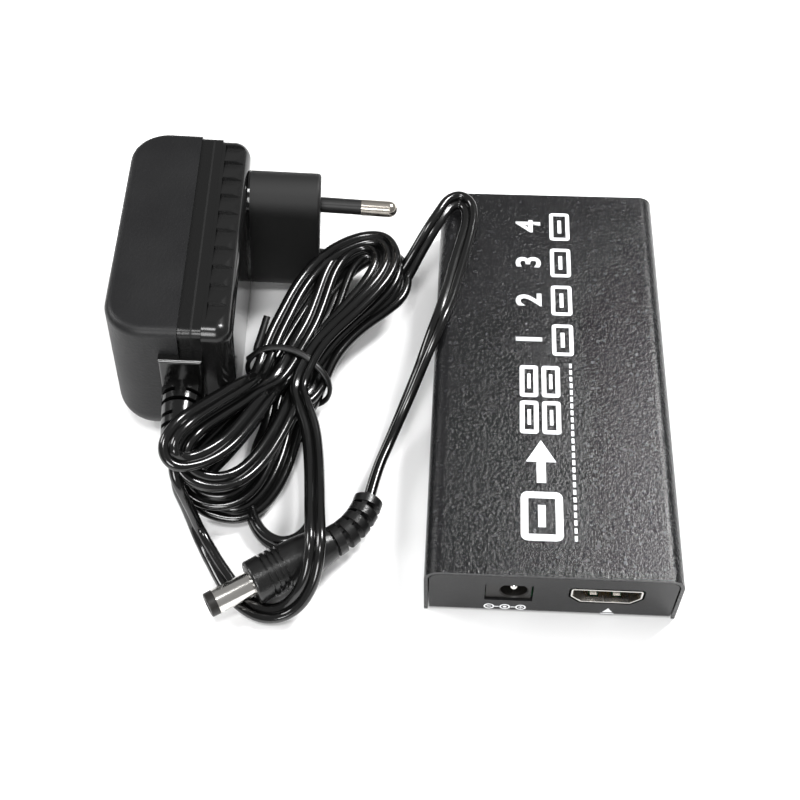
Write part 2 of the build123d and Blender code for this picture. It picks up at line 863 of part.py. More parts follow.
gland_block_middle = (gland_block_bottom + gland_block_top) / 2
gland_seat = Pos(gland_axis_x, supply_low_end, gland_block_middle) * Box(
    gland_width, 2 * supply_wall, gland_block_top - gland_block_bottom
)
gland_pocket = Pos((strip_start + strip_end) / 2, supply_low_end, gland_pocket_top) * Box(
    strip_end - strip_start,
    2 * gland_pocket_depth,
    gland_pocket_top - gland_block_top,
    align=(Align.CENTER, Align.CENTER, Align.MAX),
)

with BuildPart() as adapter_front_shell:
    add(outer_half(0))
    add(strip(strip_start, parting, strip_recess, supply_edge_radius))
    add(outer_half(supply_wall), mode=Mode.SUBTRACT)
    add(strip(strip_start, parting, supply_wall, supply_edge_radius), mode=Mode.SUBTRACT)
    add(gland_seat, mode=Mode.SUBTRACT)
    add(gland_pocket, mode=Mode.SUBTRACT)
adapter_front_shell.part = supply_place * adapter_front_shell.part
adapter_front_shell.part.label = "adapter_front_shell"
export_step(adapter_front_shell.part, "parts/adapter_front_shell.step")

pin_places = [
    Plane(
        origin=(0, 0, side * pin_spacing / 2),
        x_dir=(0, 1, 0),
        z_dir=(cos(radians(pin_lean)), 0, -side * sin(radians(pin_lean))),
    )
    for side in (-1, 1)
]

band_top = supply_height / 2 - band_recess

with BuildPart() as adapter_rear_shell:
    add(strip(strip_end, supply_rear, band_recess, supply_band_radius))
    fillet(adapter_rear_shell.faces().sort_by(Axis.X)[-1].edges(), supply_rear_radius)
    for side in (-1, 1):
        for number in range(notch_count):
            step = notch_first + number * notch_pitch - supply_middle
            with BuildSketch(across_supply(strip_end + notch_from_strip)):
                with BuildLine():
                    Polyline(
                        (step, side * (band_top + 1)),
                        (step, side * (band_top - notch_depth)),
                        (step - notch_run, side * band_top),
                        (step - notch_run, side * (band_top + 1)),
                        close=True,
                    )
                make_face()
            extrude(amount=supply_rear - strip_end, mode=Mode.SUBTRACT)
    add(strip(parting, strip_end, strip_recess, supply_edge_radius))
    with BuildSketch(Plane.YZ.offset(supply_rear)):
        SlotOverall(block_length, block_thickness, rotation=90)
    extrude(amount=-supply_rear)
    fillet(adapter_rear_shell.faces().sort_by(Axis.X)[-1].edges(), 0.8)
    rear_void = strip(parting, supply_rear - supply_wall, supply_wall, supply_edge_radius)
    add(rear_void, mode=Mode.SUBTRACT)
    add(gland_seat, mode=Mode.SUBTRACT)
    add(gland_pocket, mode=Mode.SUBTRACT)
    with BuildSketch(*pin_places):
        Circle(pin_core_radius)
    extrude(amount=-pin_root, mode=Mode.SUBTRACT)
    with BuildSketch(*[plane.offset(-sleeve_seat) for plane in pin_places]):
        Circle(sleeve_radius)
    extrude(amount=2 * sleeve_seat, mode=Mode.SUBTRACT)
adapter_rear_shell.part = supply_place * adapter_rear_shell.part
adapter_rear_shell.part.label = "adapter_rear_shell"
export_step(adapter_rear_shell.part, "parts/adapter_rear_shell.step")

for number, pin_place in enumerate(pin_places, start=1):
    with BuildPart() as adapter_pin:
        with BuildSketch(Plane.XZ):
            with BuildLine():
                Polyline(
                    (0, -pin_root),
                    (pin_core_radius, -pin_root),
                    (pin_core_radius, sleeve_length),
                    (pin_radius, sleeve_length),
                    (pin_radius, pin_reach - pin_radius),
                )
                RadiusArc((pin_radius, pin_reach - pin_radius), (0, pin_reach), -pin_radius)
                Line((0, pin_reach), (0, -pin_root))
            make_face()
        revolve(axis=Axis.Z)
    adapter_pin.part = supply_place * (pin_place.location * adapter_pin.part)
    adapter_pin.part.label = f"adapter_pin_{number}"
    export_step(adapter_pin.part, f"parts/adapter_pin_{number}.step")

    with BuildPart() as pin_sleeve:
        with BuildSketch(Plane.XY.offset(-sleeve_seat)):
            Circle(sleeve_radius)
            Circle(pin_core_radius, mode=Mode.SUBTRACT)
        extrude(amount=sleeve_seat + sleeve_length)
    pin_sleeve.part = supply_place * (pin_place.location * pin_sleeve.part)
    pin_sleeve.part.label = f"pin_sleeve_{number}"
    export_step(pin_sleeve.part, f"parts/pin_sleeve_{number}.step")

inner_half_height = supply_height / 2 - supply_wall
supply_board_x = parting - 1.0
supply_board_thickness = 1.6
supply_board_length = 46.0

with BuildPart() as adapter_board:
    with BuildSketch(across_supply(supply_board_x)):
        Rectangle(supply_board_length, 2 * inner_half_height)
    extrude(amount=supply_board_thickness)
adapter_board.part = supply_place * adapter_board.part
adapter_board.part.label = "adapter_board"
export_step(adapter_board.part, "parts/adapter_board.step")

with BuildPart() as adapter_transformer:
    with BuildSketch(across_supply(supply_board_x)):
        Rectangle(16.0, 19.0)
    extrude(amount=-13.0)
    with BuildSketch(across_supply(supply_board_x - 3.0)):
        Rectangle(20.0, 14.0)
    extrude(amount=-7.0)
    fillet(adapter_transformer.edges().filter_by(Axis.X), 0.8)
adapter_transformer.part = supply_place * adapter_transformer.part
adapter_transformer.part.label = "adapter_transformer"
export_step(adapter_transformer.part, "parts/adapter_transformer.step")

with BuildPart() as adapter_capacitors:
    for along, up in ((18.5, 6.0), (18.5, -6.0), (-18.5, 0.0)):
        on_board = Plane(
            origin=(supply_board_x, supply_middle + along, up), x_dir=(0, 1, 0), z_dir=(-1, 0, 0)
        )
        add(on_board.location * capacitor_can(4.0, 12.0, 0.6))
adapter_capacitors.part = supply_place * adapter_capacitors.part
adapter_capacitors.part.label = "adapter_capacitors"
export_step(adapter_capacitors.part, "parts/adapter_capacitors.step")


# Ribbed gland: its flange sits in the walls of both halves, and slots cut from two
# sides in turn let the tapered sleeve bend

def gland_plane(reach):
    """Plane across the gland, its normal along the cord."""
    return Plane(
        origin=(gland_axis_x, supply_low_end - gland_flange - reach, gland_axis_z),
        x_dir=(1, 0, 0),
        z_dir=(0, -1, 0),
    )


with BuildPart() as cord_gland:
    with BuildSketch(gland_plane(-supply_wall - gland_flange)):
        with Locations((0, gland_block_middle - gland_axis_z)):
            Rectangle(gland_width, gland_block_top - gland_block_bottom)
    extrude(amount=supply_wall + gland_flange)
    fillet(cord_gland.faces().sort_by(Axis.Y)[0].edges(), gland_block_radius)
    with BuildSketch(gland_plane(0)):
        Circle(gland_root_radius)
    with BuildSketch(gland_plane(gland_length)):
        Circle(gland_tip_radius)
    loft()
    for number, reach in enumerate(gland_slot_places):
        with BuildSketch(gland_plane(reach)):
            Circle(gland_root_radius + 1)
            Circle(gland_core_radius, mode=Mode.SUBTRACT)
            Rectangle(gland_web, 3 * gland_root_radius, rotation=90 * (number % 2), mode=Mode.SUBTRACT)
        extrude(amount=gland_slot_width, mode=Mode.SUBTRACT)
cord_gland.part = supply_place * cord_gland.part
cord_gland.part.label = "cord_gland"
export_step(cord_gland.part, "parts/cord_gland.step")


# Low-voltage plug, drawn along x from the face of its grip towards the cord

plug_place = Location(plug_face, (0, 0, plug_heading))
barrel_inner_radius = barrel_radius - barrel_wall

with BuildPart() as dc_plug_body:
    with BuildSketch() as half_section:
        with BuildLine():
            Line((0, 0), (0, plug_radius))
            Line((0, plug_radius), (plug_shoulder, plug_radius))
            TangentArc(
                (plug_shoulder, plug_radius), (plug_length, plug_neck_radius), tangent=(1, 0)
            )
            Line((plug_length, plug_neck_radius), (plug_length, 0))
            Line((plug_length, 0), (0, 0))
        make_face()
        for reach in plug_groove_places:
            with Locations((reach, plug_radius)):
                Rectangle(plug_groove_width, 2 * plug_groove_depth, mode=Mode.SUBTRACT)
    revolve(axis=Axis.X)
    fillet(dc_plug_body.faces().sort_by(Axis.X)[0].edges(), plug_edge_radius)
    with BuildSketch(Plane.YZ):
        Circle(barrel_radius)
    extrude(amount=barrel_root, mode=Mode.SUBTRACT)
dc_plug_body.part = plug_place * dc_plug_body.part
dc_plug_body.part.label = "dc_plug_body"
export_step(dc_plug_body.part, "parts/dc_plug_body.step")


def plug_tube(start, end, outer, inner):
    """Round tube along the axis of the plug."""
    with BuildPart() as tube:
        with BuildSketch(Plane.YZ.offset(start)):
            Circle(outer)
            Circle(inner, mode=Mode.SUBTRACT)
        extrude(amount=end - start)
    return tube.part


with BuildPart() as dc_plug_barrel:
    add(plug_tube(tip_collar - barrel_reach, barrel_root, barrel_radius, barrel_inner_radius))
dc_plug_barrel.part = plug_place * dc_plug_barrel.part
dc_plug_barrel.part.label = "dc_plug_barrel"
export_step(dc_plug_barrel.part, "parts/dc_plug_barrel.step")

with BuildPart() as dc_plug_tip:
    add(plug_tube(tip_collar - barrel_reach, barrel_root, barrel_inner_radius, tip_bore_radius))
    add(plug_tube(-barrel_reach, tip_collar - barrel_reach, barrel_radius, tip_bore_radius))
    fillet(dc_plug_tip.faces().sort_by(Axis.X)[0].edges().sort_by(SortBy.LENGTH)[-1], 0.3)
dc_plug_tip.part = plug_place * dc_plug_tip.part
dc_plug_tip.part.label = "dc_plug_tip"
export_step(dc_plug_tip.part, "parts/dc_plug_tip.step")

with BuildPart() as dc_plug_socket:
    add(plug_tube(0.5 - barrel_reach, barrel_root, tip_bore_radius, contact_bore_radius))
dc_plug_socket.part = plug_place * dc_plug_socket.part
dc_plug_socket.part.label = "dc_plug_socket"
export_step(dc_plug_socket.part, "parts/dc_plug_socket.step")

with BuildPart() as plug_strain_relief:
    with BuildLine() as relief_line:
        CenterArc((plug_length, relief_radius), relief_radius, -90, relief_turn)
    relief_arc = relief_line.line
    with BuildSketch(Plane(origin=relief_arc @ 0, x_dir=(0, 0, 1), z_dir=relief_arc % 0)):
        Circle(relief_core_radius)
        with Locations((relief_core_radius, 0)):
            Rectangle(2 * (relief_spine_radius - relief_core_radius), relief_spine_width)
    sweep(path=relief_arc)
    for number in range(relief_ring_count):
        share = (number + 0.5) / relief_ring_count
        across = Plane(origin=relief_arc @ share, x_dir=(0, 0, 1), z_dir=relief_arc % share)
        with BuildSketch(across.offset(-relief_ring_width / 2)):
            Circle(relief_ring_radius - share * relief_ring_taper)
        extrude(amount=relief_ring_width)
plug_strain_relief.part = plug_place * plug_strain_relief.part
plug_strain_relief.part.label = "plug_strain_relief"
export_step(plug_strain_relief.part, "parts/plug_strain_relief.step")


# Cord: the folded strands as one closed form, narrowed where the tie holds them

def band_plane(left, right, along):
    """Plane across the strands, its x from the left edge to the right one."""
    left, right = Vector(*left), Vector(*right)
    across = (right - left).normalized()
    heading = along - across * across.dot(along)
    return Plane(origin=(left + right) / 2, x_dir=across, z_dir=heading)


def band_middle(section):
    """Point halfway between the two edges of a section."""
    return (Vector(*section[0]) + Vector(*section[1])) / 2


def band_sketch(plane, section, grow=0.0):
    """Rounded section of the strands on its plane."""
    width = (Vector(*section[1]) - Vector(*section[0])).length + 2 * grow
    thickness = section[2] + 2 * grow
    with BuildSketch(plane) as outline:
        RectangleRounded(width, thickness, hank_corner * thickness)
    return outline.sketch


neck_heading = band_middle(hank_upper_sections[0]) - band_middle(hank_lower_sections[-1])
neck_plane = band_plane(hank_neck[0], hank_neck[1], neck_heading)


def half_hank(sections, neck_side):
    """Faces from the far end of one half of the hank to its neck."""
    middles = [band_middle(section) for section in sections] + [neck_plane.origin]
    faces = []
    for number, section in enumerate(sections):
        along = (middles[number + 1] - middles[max(number - 1, 0)]) * neck_side
        faces.append(band_sketch(band_plane(section[0], section[1], along), section))
    faces.append(band_sketch(neck_plane.offset(-neck_side * hank_neck_length / 2), hank_neck))
    return faces


with BuildPart() as cord_hank:
    for sections, neck_side in ((hank_lower_sections, 1), (hank_upper_sections[::-1], -1)):
        loft(half_hank(sections, neck_side), ruled=True)
    extrude(band_sketch(neck_plane.offset(-hank_neck_length / 2), hank_neck), amount=hank_neck_length)
cord_hank.part.label = "cord_hank"
export_step(cord_hank.part, "parts/cord_hank.step")

with BuildPart() as cord_tie:
    tie_plane = neck_plane.offset(-tie_width / 2)
    extrude(band_sketch(tie_plane, hank_neck, tie_thickness), amount=tie_width)
    extrude(band_sketch(tie_plane, hank_neck), amount=tie_width, mode=Mode.SUBTRACT)
cord_tie.part.label = "cord_tie"
export_step(cord_tie.part, "parts/cord_tie.step")


def arc_radii(points):
    """Radius at each inner point, as large as the two runs that meet there allow."""
    radii = []
    for before, here, after in zip(points, points[1:], points[2:]):
        run_in = Vector(*here) - Vector(*before)
        run_out = Vector(*after) - Vector(*here)
        turn = radians(run_in.get_angle(run_out))
        radii.append(arc_share * min(run_in.length, run_out.length) / tan(turn / 2))
    return radii


cord_routes = {
    "cord_lead": cord_lead_points,
    "cord_loop": cord_loop_points,
    "cord_run": cord_run_points,
}
for node, points in cord_routes.items():
    radii = arc_radii(points)
    with BuildPart() as cord_stretch:
        with BuildLine() as route:
            FilletPolyline(*points, radius=radii)
        path = route.wires()[0]
        with BuildSketch(Plane(origin=path @ 0, z_dir=path % 0)):
            Circle(cord_radius)
        sweep(path=path)
        tube_volume = cord_stretch.part.volume
        add(cord_hank.part, mode=Mode.SUBTRACT)
    cord_stretch.part.label = node
    export_step(cord_stretch.part, f"parts/{node}.step")
    section_area = pi * cord_radius**2
    volume_share = tube_volume / (section_area * path.length)
    print(node, "length", round(path.length, 1), "volume over section times length", round(volume_share, 4))
    print("radii", [round(radius, 1) for radius in radii])
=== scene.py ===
from math import cos, pi, radians, sin

import bmesh
import bpy
from mathutils import Matrix, Vector


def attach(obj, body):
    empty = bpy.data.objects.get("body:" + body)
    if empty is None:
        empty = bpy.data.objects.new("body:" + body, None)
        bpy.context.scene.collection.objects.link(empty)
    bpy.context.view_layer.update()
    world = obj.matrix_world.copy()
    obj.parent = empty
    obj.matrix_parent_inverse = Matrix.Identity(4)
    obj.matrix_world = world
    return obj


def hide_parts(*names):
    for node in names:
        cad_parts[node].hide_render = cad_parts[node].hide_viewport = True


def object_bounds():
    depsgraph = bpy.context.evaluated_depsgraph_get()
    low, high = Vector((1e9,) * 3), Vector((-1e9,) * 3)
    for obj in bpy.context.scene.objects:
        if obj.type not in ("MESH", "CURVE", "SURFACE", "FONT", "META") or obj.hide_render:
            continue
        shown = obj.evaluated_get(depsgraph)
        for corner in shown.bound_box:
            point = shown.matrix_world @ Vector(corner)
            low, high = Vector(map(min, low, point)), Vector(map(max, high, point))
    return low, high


bl_info = {
    "name": "Video splitter with power supply",
    "version": (1, 0, 0),
    "blender": (4, 5, 0),
    "location": "3D View > Sidebar > Splitter",
    "description": "Cord, tie, printed marks, finishes and studio for a video splitter",
    "category": "Object",
}

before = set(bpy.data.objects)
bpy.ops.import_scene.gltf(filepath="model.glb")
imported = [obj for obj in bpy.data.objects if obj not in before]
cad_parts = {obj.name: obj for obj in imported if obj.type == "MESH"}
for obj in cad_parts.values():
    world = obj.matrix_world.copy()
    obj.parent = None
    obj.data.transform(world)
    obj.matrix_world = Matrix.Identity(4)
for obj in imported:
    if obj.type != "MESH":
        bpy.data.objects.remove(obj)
cad_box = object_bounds()

# One millimetre and the least distance between two points of a line, in metres
MM = 0.001
LEAST_STEP = 0.00002

# The supply's own frame, and the zones of its finish along its depth, in metres
SUPPLY_PLACE = (-0.0574, 0.0402, 0.01716)
SUPPLY_TURN = (0.0, radians(5.0), radians(3.2))
SUPPLY_ZONES = {
    "Strip": (-0.0293, -0.0242),
    "Seam": (-0.02652, -0.02608),
    "Wall": (-0.0186, -0.017),
    "Block": (-0.017, 0.001),
    "Pins": (0.002, 0.03),
}

# Middle of the tie, in millimetres, and the directions of the folded cord there
TIE_MIDDLE = Vector((-62.2, -2.4, 7.4))
TIE_ACROSS = Vector((0.966, -0.144, -0.218)).normalized()
TIE_HEADING = Vector((0.2, 0.972, 0.05))
TIE_HEADING = (TIE_HEADING - TIE_ACROSS * TIE_HEADING.dot(TIE_ACROSS)).normalized()
TIE_NORMAL = TIE_ACROSS.cross(TIE_HEADING)

# Columns and levels of the strands in the tie: the ones at its middle, how far apart they lie in
# millimetres, and the lean of the strands' flat sides in degrees
MIDDLE_COLUMN = 1.5
MIDDLE_LEVEL = 1
COLUMN_PITCH = 4.6
LEVEL_PITCH = 2.35
TIE_LEAN = 12.6

# Each stretch of cord between two passes through the tie: x, y, z in millimetres, and where the
# strand turns over, the lean of its flat side in degrees
LEAD = [
    (-82.53, -27.01, 20.67, 90),
    (-82.4, -30.4, 20.5),
    (-82.2, -33.6, 19.2, 90),
    (-81.6, -35.9, 16.6),
    (-80.8, -37.0, 13.2, 85),
    (-80.0, -37.7, 9.6),
    (-79.3, -38.6, 6.4, 75),
    (-78.5, -39.8, 4.0),
    (-77.1, -42.0, 2.8, 60),
    (-74.9, -45.4, 2.4, 50),
    (-71.1, -50.9, 2.0),
    (-66.9, -56.0, 1.6, 0),
    (-60.8, -59.1, 1.5, 0),
    (-55.2, -57.9, 3.4),
    (-51.4, -54.6, 8.8, 20),
    (-50.2, -48.6, 13.9),
    (-51.2, -41.0, 13.6, 10),
    (-52.3, -31.8, 11.0),
    (-53.5, -22.6, 9.5, 0),
    (-55.0, -14.6, 9.5),
    (-57.6, -8.6, 10.2, -10),
]
UPPER_OUTER = [
    (-56.0, 6.0, 12.2),
    (-52.0, 11.8, 13.0, -10),
    (-47.6, 16.8, 13.8),
    (-43.4, 22.1, 14.6, 0),
    (-40.0, 28.0, 14.9),
    (-38.5, 34.1, 15.2, 0),
    (-40.9, 39.5, 15.4),
    (-45.4, 40.0, 15.2, 0),
    (-50.2, 38.2, 14.8),
    (-54.6, 35.2, 14.0, 0),
    (-58.8, 30.2, 13.2),
    (-61.8, 23.8, 12.8, 0),
    (-63.8, 17.0, 12.6),
    (-66.2, 9.4, 12.0, -10),
]
LOWER_A = [
    (-69.3, -6.9, 16.0),
    (-72.7, -12.5, 19.0, -10),
    (-76.6, -19.5, 23.0),
    (-79.8, -25.1, 25.8, -10),
    (-82.2, -29.2, 26.0),
    (-82.9, -32.6, 24.8, 0),
    (-81.0, -34.3, 22.8),
    (-77.7, -32.7, 21.0, 10),
    (-74.2, -29.7, 19.8, 20),
    (-71.0, -25.4, 18.6),
    (-68.0, -18.2, 16.8, 10),
    (-64.9, -9.4, 14.4, -5),
]
UPPER_INNER = [
    (-56.4, 8.2, 10.6),
    (-52.4, 14.2, 11.4, 0),
    (-47.8, 20.8, 12.4),
    (-43.6, 27.2, 13.4, 0),
    (-41.6, 33.2, 14.0),
    (-42.8, 37.8, 14.2),
    (-46.8, 39.0, 14.2, 0),
    (-51.2, 36.4, 13.8),
    (-54.2, 30.6, 13.2, 0),
    (-55.8, 22.0, 12.5),
    (-57.4, 14.4, 12.0),
    (-60.0, 7.6, 11.6, -10),
]
LOWER_B = [
    (-68.0, -7.6, 14.0),
    (-71.5, -13.5, 16.6, -10),
    (-75.6, -20.2, 20.0),
    (-78.8, -25.7, 22.4, 0),
    (-80.9, -29.7, 22.0),
    (-80.8, -32.7, 19.8, 10),
    (-78.1, -34.5, 17.0),
    (-73.2, -34.4, 15.0, 30),
    (-68.7, -31.8, 13.8),
    (-65.2, -26.1, 12.4, 25),
    (-62.6, -18.5, 11.0),
    (-60.5, -10.4, 10.0, 0),
]
UPPER_MIDDLE = [
    (-53.6, 9.0, 9.8),
    (-48.7, 15.7, 10.5, 0),
    (-43.2, 21.7, 11.0),
    (-38.8, 27.6, 12.1, 0),
    (-37.7, 34.1, 12.8),
    (-40.9, 38.7, 13.0, 0),
    (-46.7, 39.1, 12.8),
    (-52.2, 34.7, 12.2, 0),
    (-57.4, 27.7, 11.0),
    (-61.1, 19.6, 10.3, 0),
    (-65.0, 10.0, 9.8, -10),
]
LOWER_C = [
    (-67.3, -6.9, 11.4),
    (-70.7, -13.0, 12.4, 0),
    (-75.0, -19.4, 12.8),
    (-79.5, -24.8, 12.0, 10),
    (-82.2, -28.9, 10.6),
    (-81.2, -32.2, 9.0, 25),
    (-78.1, -34.0, 7.8),
    (-73.6, -34.5, 7.4, 35),
    (-69.4, -32.9, 7.4),
    (-66.3, -28.9, 7.8, 25),
    (-64.6, -23.3, 8.2),
    (-63.1, -16.3, 8.4, 10),
    (-61.2, -8.8, 8.2, -5),
]
UPPER_RIGHT = [
    (-52.6, 6.6, 8.0),
    (-49.6, 12.0, 8.5, 0),
    (-45.2, 17.4, 8.8),
    (-40.6, 21.5, 9.2, 0),
    (-36.7, 25.6, 9.8),
    (-35.5, 31.1, 10.4, 20),
    (-37.5, 36.6, 10.8),
    (-41.7, 39.1, 11.0, 0),
    (-47.5, 36.5, 10.4),
    (-52.7, 30.5, 9.4, 0),
    (-57.6, 22.1, 8.6),
    (-63.4, 11.4, 7.8, -10),
]
LOWER_D = [
    (-66.8, -7.8, 9.0),
    (-70.4, -15.9, 9.2, 0),
    (-75.3, -24.0, 8.6),
    (-79.5, -28.8, 7.4, 15),
    (-80.8, -31.6, 6.0),
    (-78.2, -33.9, 4.8, 30),
    (-74.0, -35.2, 3.9),
    (-69.6, -35.3, 3.5, 35),
    (-65.8, -32.8, 3.5),
    (-62.9, -28.2, 3.8, 30),
    (-61.0, -22.4, 4.2),
    (-59.9, -15.9, 4.6, 20),
    (-59.0, -9.6, 5.2, -5),
]
UPPER_LOW = [
    (-53.6, 8.4, 5.4),
    (-50.0, 15.2, 7.0, 0),
    (-45.0, 22.0, 9.0),
    (-41.2, 28.0, 10.6, 0),
    (-40.2, 33.6, 11.2),
    (-42.4, 37.8, 11.4, 20),
    (-46.6, 38.2, 11.2),
    (-49.8, 34.0, 10.4, 30),
    (-51.4, 28.6, 9.4),
    (-53.0, 22.0, 8.2, 20),
    (-55.6, 14.8, 6.6, 0),
    (-60.2, 8.2, 5.8, -10),
]
LOWER_LOOP = [
    (-65.4, -10.8, 4.4),
    (-67.1, -15.9, 3.4, 30),
    (-68.3, -22.2, 2.6, 60),
    (-68.5, -29.1, 2.4, 75),
    (-67.0, -35.2, 2.4),
    (-64.7, -39.0, 2.4, 80),
    (-62.0, -41.3, 2.4),
    (-58.9, -42.2, 2.4, 80),
    (-55.6, -40.9, 2.4),
    (-53.1, -37.4, 2.4, 80),
    (-52.5, -31.4, 2.4),
    (-53.4, -23.3, 2.4, 75),
    (-54.7, -15.3, 2.4),
    (-56.9, -11.9, 2.8, 20),
]
RUN = [
    (-55.2, 6.6, 4.0),
    (-50.4, 15.0, 5.0, 0),
    (-43.6, 22.0, 6.4),
    (-38.8, 27.2, 7.8, 20),
    (-35.4, 32.2, 10.8),
    (-32.2, 36.6, 15.0, 60),
    (-29.4, 40.6, 18.2),
    (-27.0, 44.6, 19.5, 60),
    (-25.1, 48.4, 19.9),
    (-22.4, 50.0, 19.9, 50),
    (-20.1, 48.2, 19.5),
    (-19.5, 44.4, 19.0, 30),
    (-20.2, 39.6, 18.6),
    (-21.4, 33.4, 18.4, 15),
    (-22.8, 26.0, 18.4),
    (-24.3, 18.0, 18.5, 20),
    (-26.3, 10.8, 18.4, 35),
    (-28.6, 4.4, 15.8),
    (-31.2, -1.6, 11.6, 55),
    (-34.1, -8.4, 7.8),
    (-36.9, -16.2, 5.9, 65),
    (-39.31, -24.3, 6.2),
    (-40.426, -31.515, 6.2, 70),
]
STRETCHES = [
    LEAD, UPPER_OUTER, LOWER_A, UPPER_INNER, LOWER_B, UPPER_MIDDLE,
    LOWER_C, UPPER_RIGHT, LOWER_D, UPPER_LOW, LOWER_LOOP, RUN,
]
# Column from left to right and level from below of each pass, up and down in turn
PASSES = [
    (2, 2), (0, 2), (1, 1), (1, 2), (2, 1), (0, 1), (3, 1), (0, 0), (3, 0), (1, 0), (2, 0),
]


class SplitterSettings(bpy.types.PropertyGroup):
    """Sizes and colours of the dressed model."""

    core_radius: bpy.props.FloatProperty(
        name="Core radius", description="Radius of each of the two cores of the cord",
        default=0.00115, min=0.0008, max=0.0016, unit="LENGTH",
    )
    tie_width: bpy.props.FloatProperty(
        name="Tie width", description="Width of the strip that holds the folded cord",
        default=0.0018, min=0.001, max=0.003, unit="LENGTH",
    )
    print_height: bpy.props.FloatProperty(
        name="Ink height", description="How far the printed marks stand on the paint",
        default=0.00003, min=0.00001, max=0.0001, unit="LENGTH",
    )
    housing_colour: bpy.props.FloatVectorProperty(
        name="Housing colour", description="Powder coat of the splitter",
        default=(0.007, 0.007, 0.0075), size=3, subtype="COLOR", min=0.0, max=1.0,
    )
    supply_colour: bpy.props.FloatVectorProperty(
        name="Supply colour", description="Moulded housing of the power supply",
        default=(0.0045, 0.0045, 0.005), size=3, subtype="COLOR", min=0.0, max=1.0,
    )
    ink_colour: bpy.props.FloatVectorProperty(
        name="Ink colour", description="Printed marks",
        default=(0.84, 0.85, 0.86), size=3, subtype="COLOR", min=0.0, max=1.0,
    )
    floor_colour: bpy.props.FloatVectorProperty(
        name="Floor colour", description="Table that the parts lie on",
        default=(0.93, 0.93, 0.93), size=3, subtype="COLOR", min=0.0, max=1.0,
    )


def settings():
    """Current sizes and colours."""
    return bpy.context.scene.splitter


def select_only(piece):
    """Makes the piece the only selected object, and the active one."""
    bpy.ops.object.select_all(action="DESELECT")
    piece.select_set(True)
    bpy.context.view_layer.objects.active = piece


def keep(piece, finish, *replaced):
    """Puts a finished piece on the body with its finish, in place of these CAD nodes."""
    piece.data.materials.clear()
    piece.data.materials.append(finish)
    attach(piece, "root")
    if replaced:
        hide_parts(*replaced)


def corners_of(node):
    """Corners of a CAD node's box."""
    return [node.matrix_world @ Vector(corner) for corner in node.bound_box]


# Node groups and materials

# Every finish by its name, which is also the slot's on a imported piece
finishes = {}

# Share of the texture's cells that get a painted glint, in place of light glinting on the pebbles,
# and the range of a noise that is spread over a finish
GLINT_SHARE = 0.1
NOISE_LOW, NOISE_HIGH = 0.3, 0.7

# How much darker and lighter than its colour a coat is in places, and the tray's paint than the
# cover's
COAT_DARKER, COAT_LIGHTER = 0.8, 1.25
TRAY_DARKER = 0.7

# How a metal's colour and roughness vary, and what a scratch adds to its roughness and relief
METAL_DARKER = 0.88
METAL_SMOOTHER, METAL_DULLER = 0.7, 1.4
SCRATCH_ROUGHNESS = 0.12
SCRATCH_BUMP, SCRATCH_DEPTH = 0.15, 0.00003

# Sockets of the Mix node that its colour form uses
MIX_FACTOR, MIX_FIRST, MIX_SECOND, MIX_RESULT = 0, 6, 7, 2


def feed(tree, kind, inputs=None, **settings_of_node):
    """New node with these settings, each input a value or another node's output."""
    node = tree.nodes.new(kind)
    for name, value in settings_of_node.items():
        setattr(node, name, value)
    for name, value in (inputs or {}).items():
        socket = node.inputs[name]
        if isinstance(value, bpy.types.NodeSocket):
            tree.links.new(value, socket)
        else:
            socket.default_value = value
    return node


def new_group(name, inputs, outputs):
    """Empty shader group with named number inputs, each with its default, and number outputs."""
    group = bpy.data.node_groups.new(name, "ShaderNodeTree")
    for socket_name, default in inputs.items():
        socket = group.interface.new_socket(
            socket_name, in_out="INPUT", socket_type="NodeSocketFloat"
        )
        socket.default_value = default
    for socket_name in outputs:
        group.interface.new_socket(socket_name, in_out="OUTPUT", socket_type="NodeSocketFloat")
    return group, group.nodes.new("NodeGroupInput"), group.nodes.new("NodeGroupOutput")


def grain_group():
    """Fine pebbled texture: its height, and painted glints, light points here and there in place
    of light glinting on the pebbles.
    """
    group, given, result = new_group("Fine pebbling and painted glints", {"Scale": 2500.0}, ["Height", "Painted glints"])
    place = group.nodes.new("ShaderNodeTexCoord").outputs["Object"]
    scale = given.outputs["Scale"]
    pebbles = feed(group, "ShaderNodeTexNoise", {
        "Vector": place, "Scale": scale, "Detail": 3.0, "Roughness": 0.6,
    })
    cells = feed(group, "ShaderNodeTexVoronoi", {"Vector": place, "Scale": scale})
    tone = feed(group, "ShaderNodeSeparateColor", {"Color": cells.outputs["Color"]})
    # Painted glints: the brightest cells, which the finishes turn light in place of light glinting
    # on the pebbles
    glint_cells = feed(group, "ShaderNodeMapRange", {
        "Value": tone.outputs["Red"], "From Min": 1.0 - GLINT_SHARE, "From Max": 1.0,
    })
    group.links.new(pebbles.outputs["Fac"], result.inputs["Height"])
    group.links.new(glint_cells.outputs["Result"], result.inputs["Painted glints"])
    return group


def wear_group():
    """Faint clouds of handling and thin scratches, each as a mask."""
    group, given, result = new_group("Handling", {"Scale": 60.0}, ["Clouds", "Scratches"])
    place = group.nodes.new("ShaderNodeTexCoord").outputs["Object"]
    clouds = feed(group, "ShaderNodeTexNoise", {
        "Vector": place, "Scale": given.outputs["Scale"], "Detail": 4.0, "Roughness": 0.55,
    })
    stretched = feed(group, "ShaderNodeMapping", {
        "Vector": place, "Rotation": (0.3, 0.2, 0.7), "Scale": (1.0, 0.04, 1.0),
    })
    lines = feed(group, "ShaderNodeTexNoise", {
        "Vector": stretched.outputs["Vector"], "Scale": 1400.0, "Detail": 2.0,
    })
    scratches = feed(group, "ShaderNodeMapRange", {
        "Value": lines.outputs["Fac"], "From Min": 0.68, "From Max": 0.78,
    })
    group.links.new(clouds.outputs["Fac"], result.inputs["Clouds"])
    group.links.new(scratches.outputs["Result"], result.inputs["Scratches"])
    return group


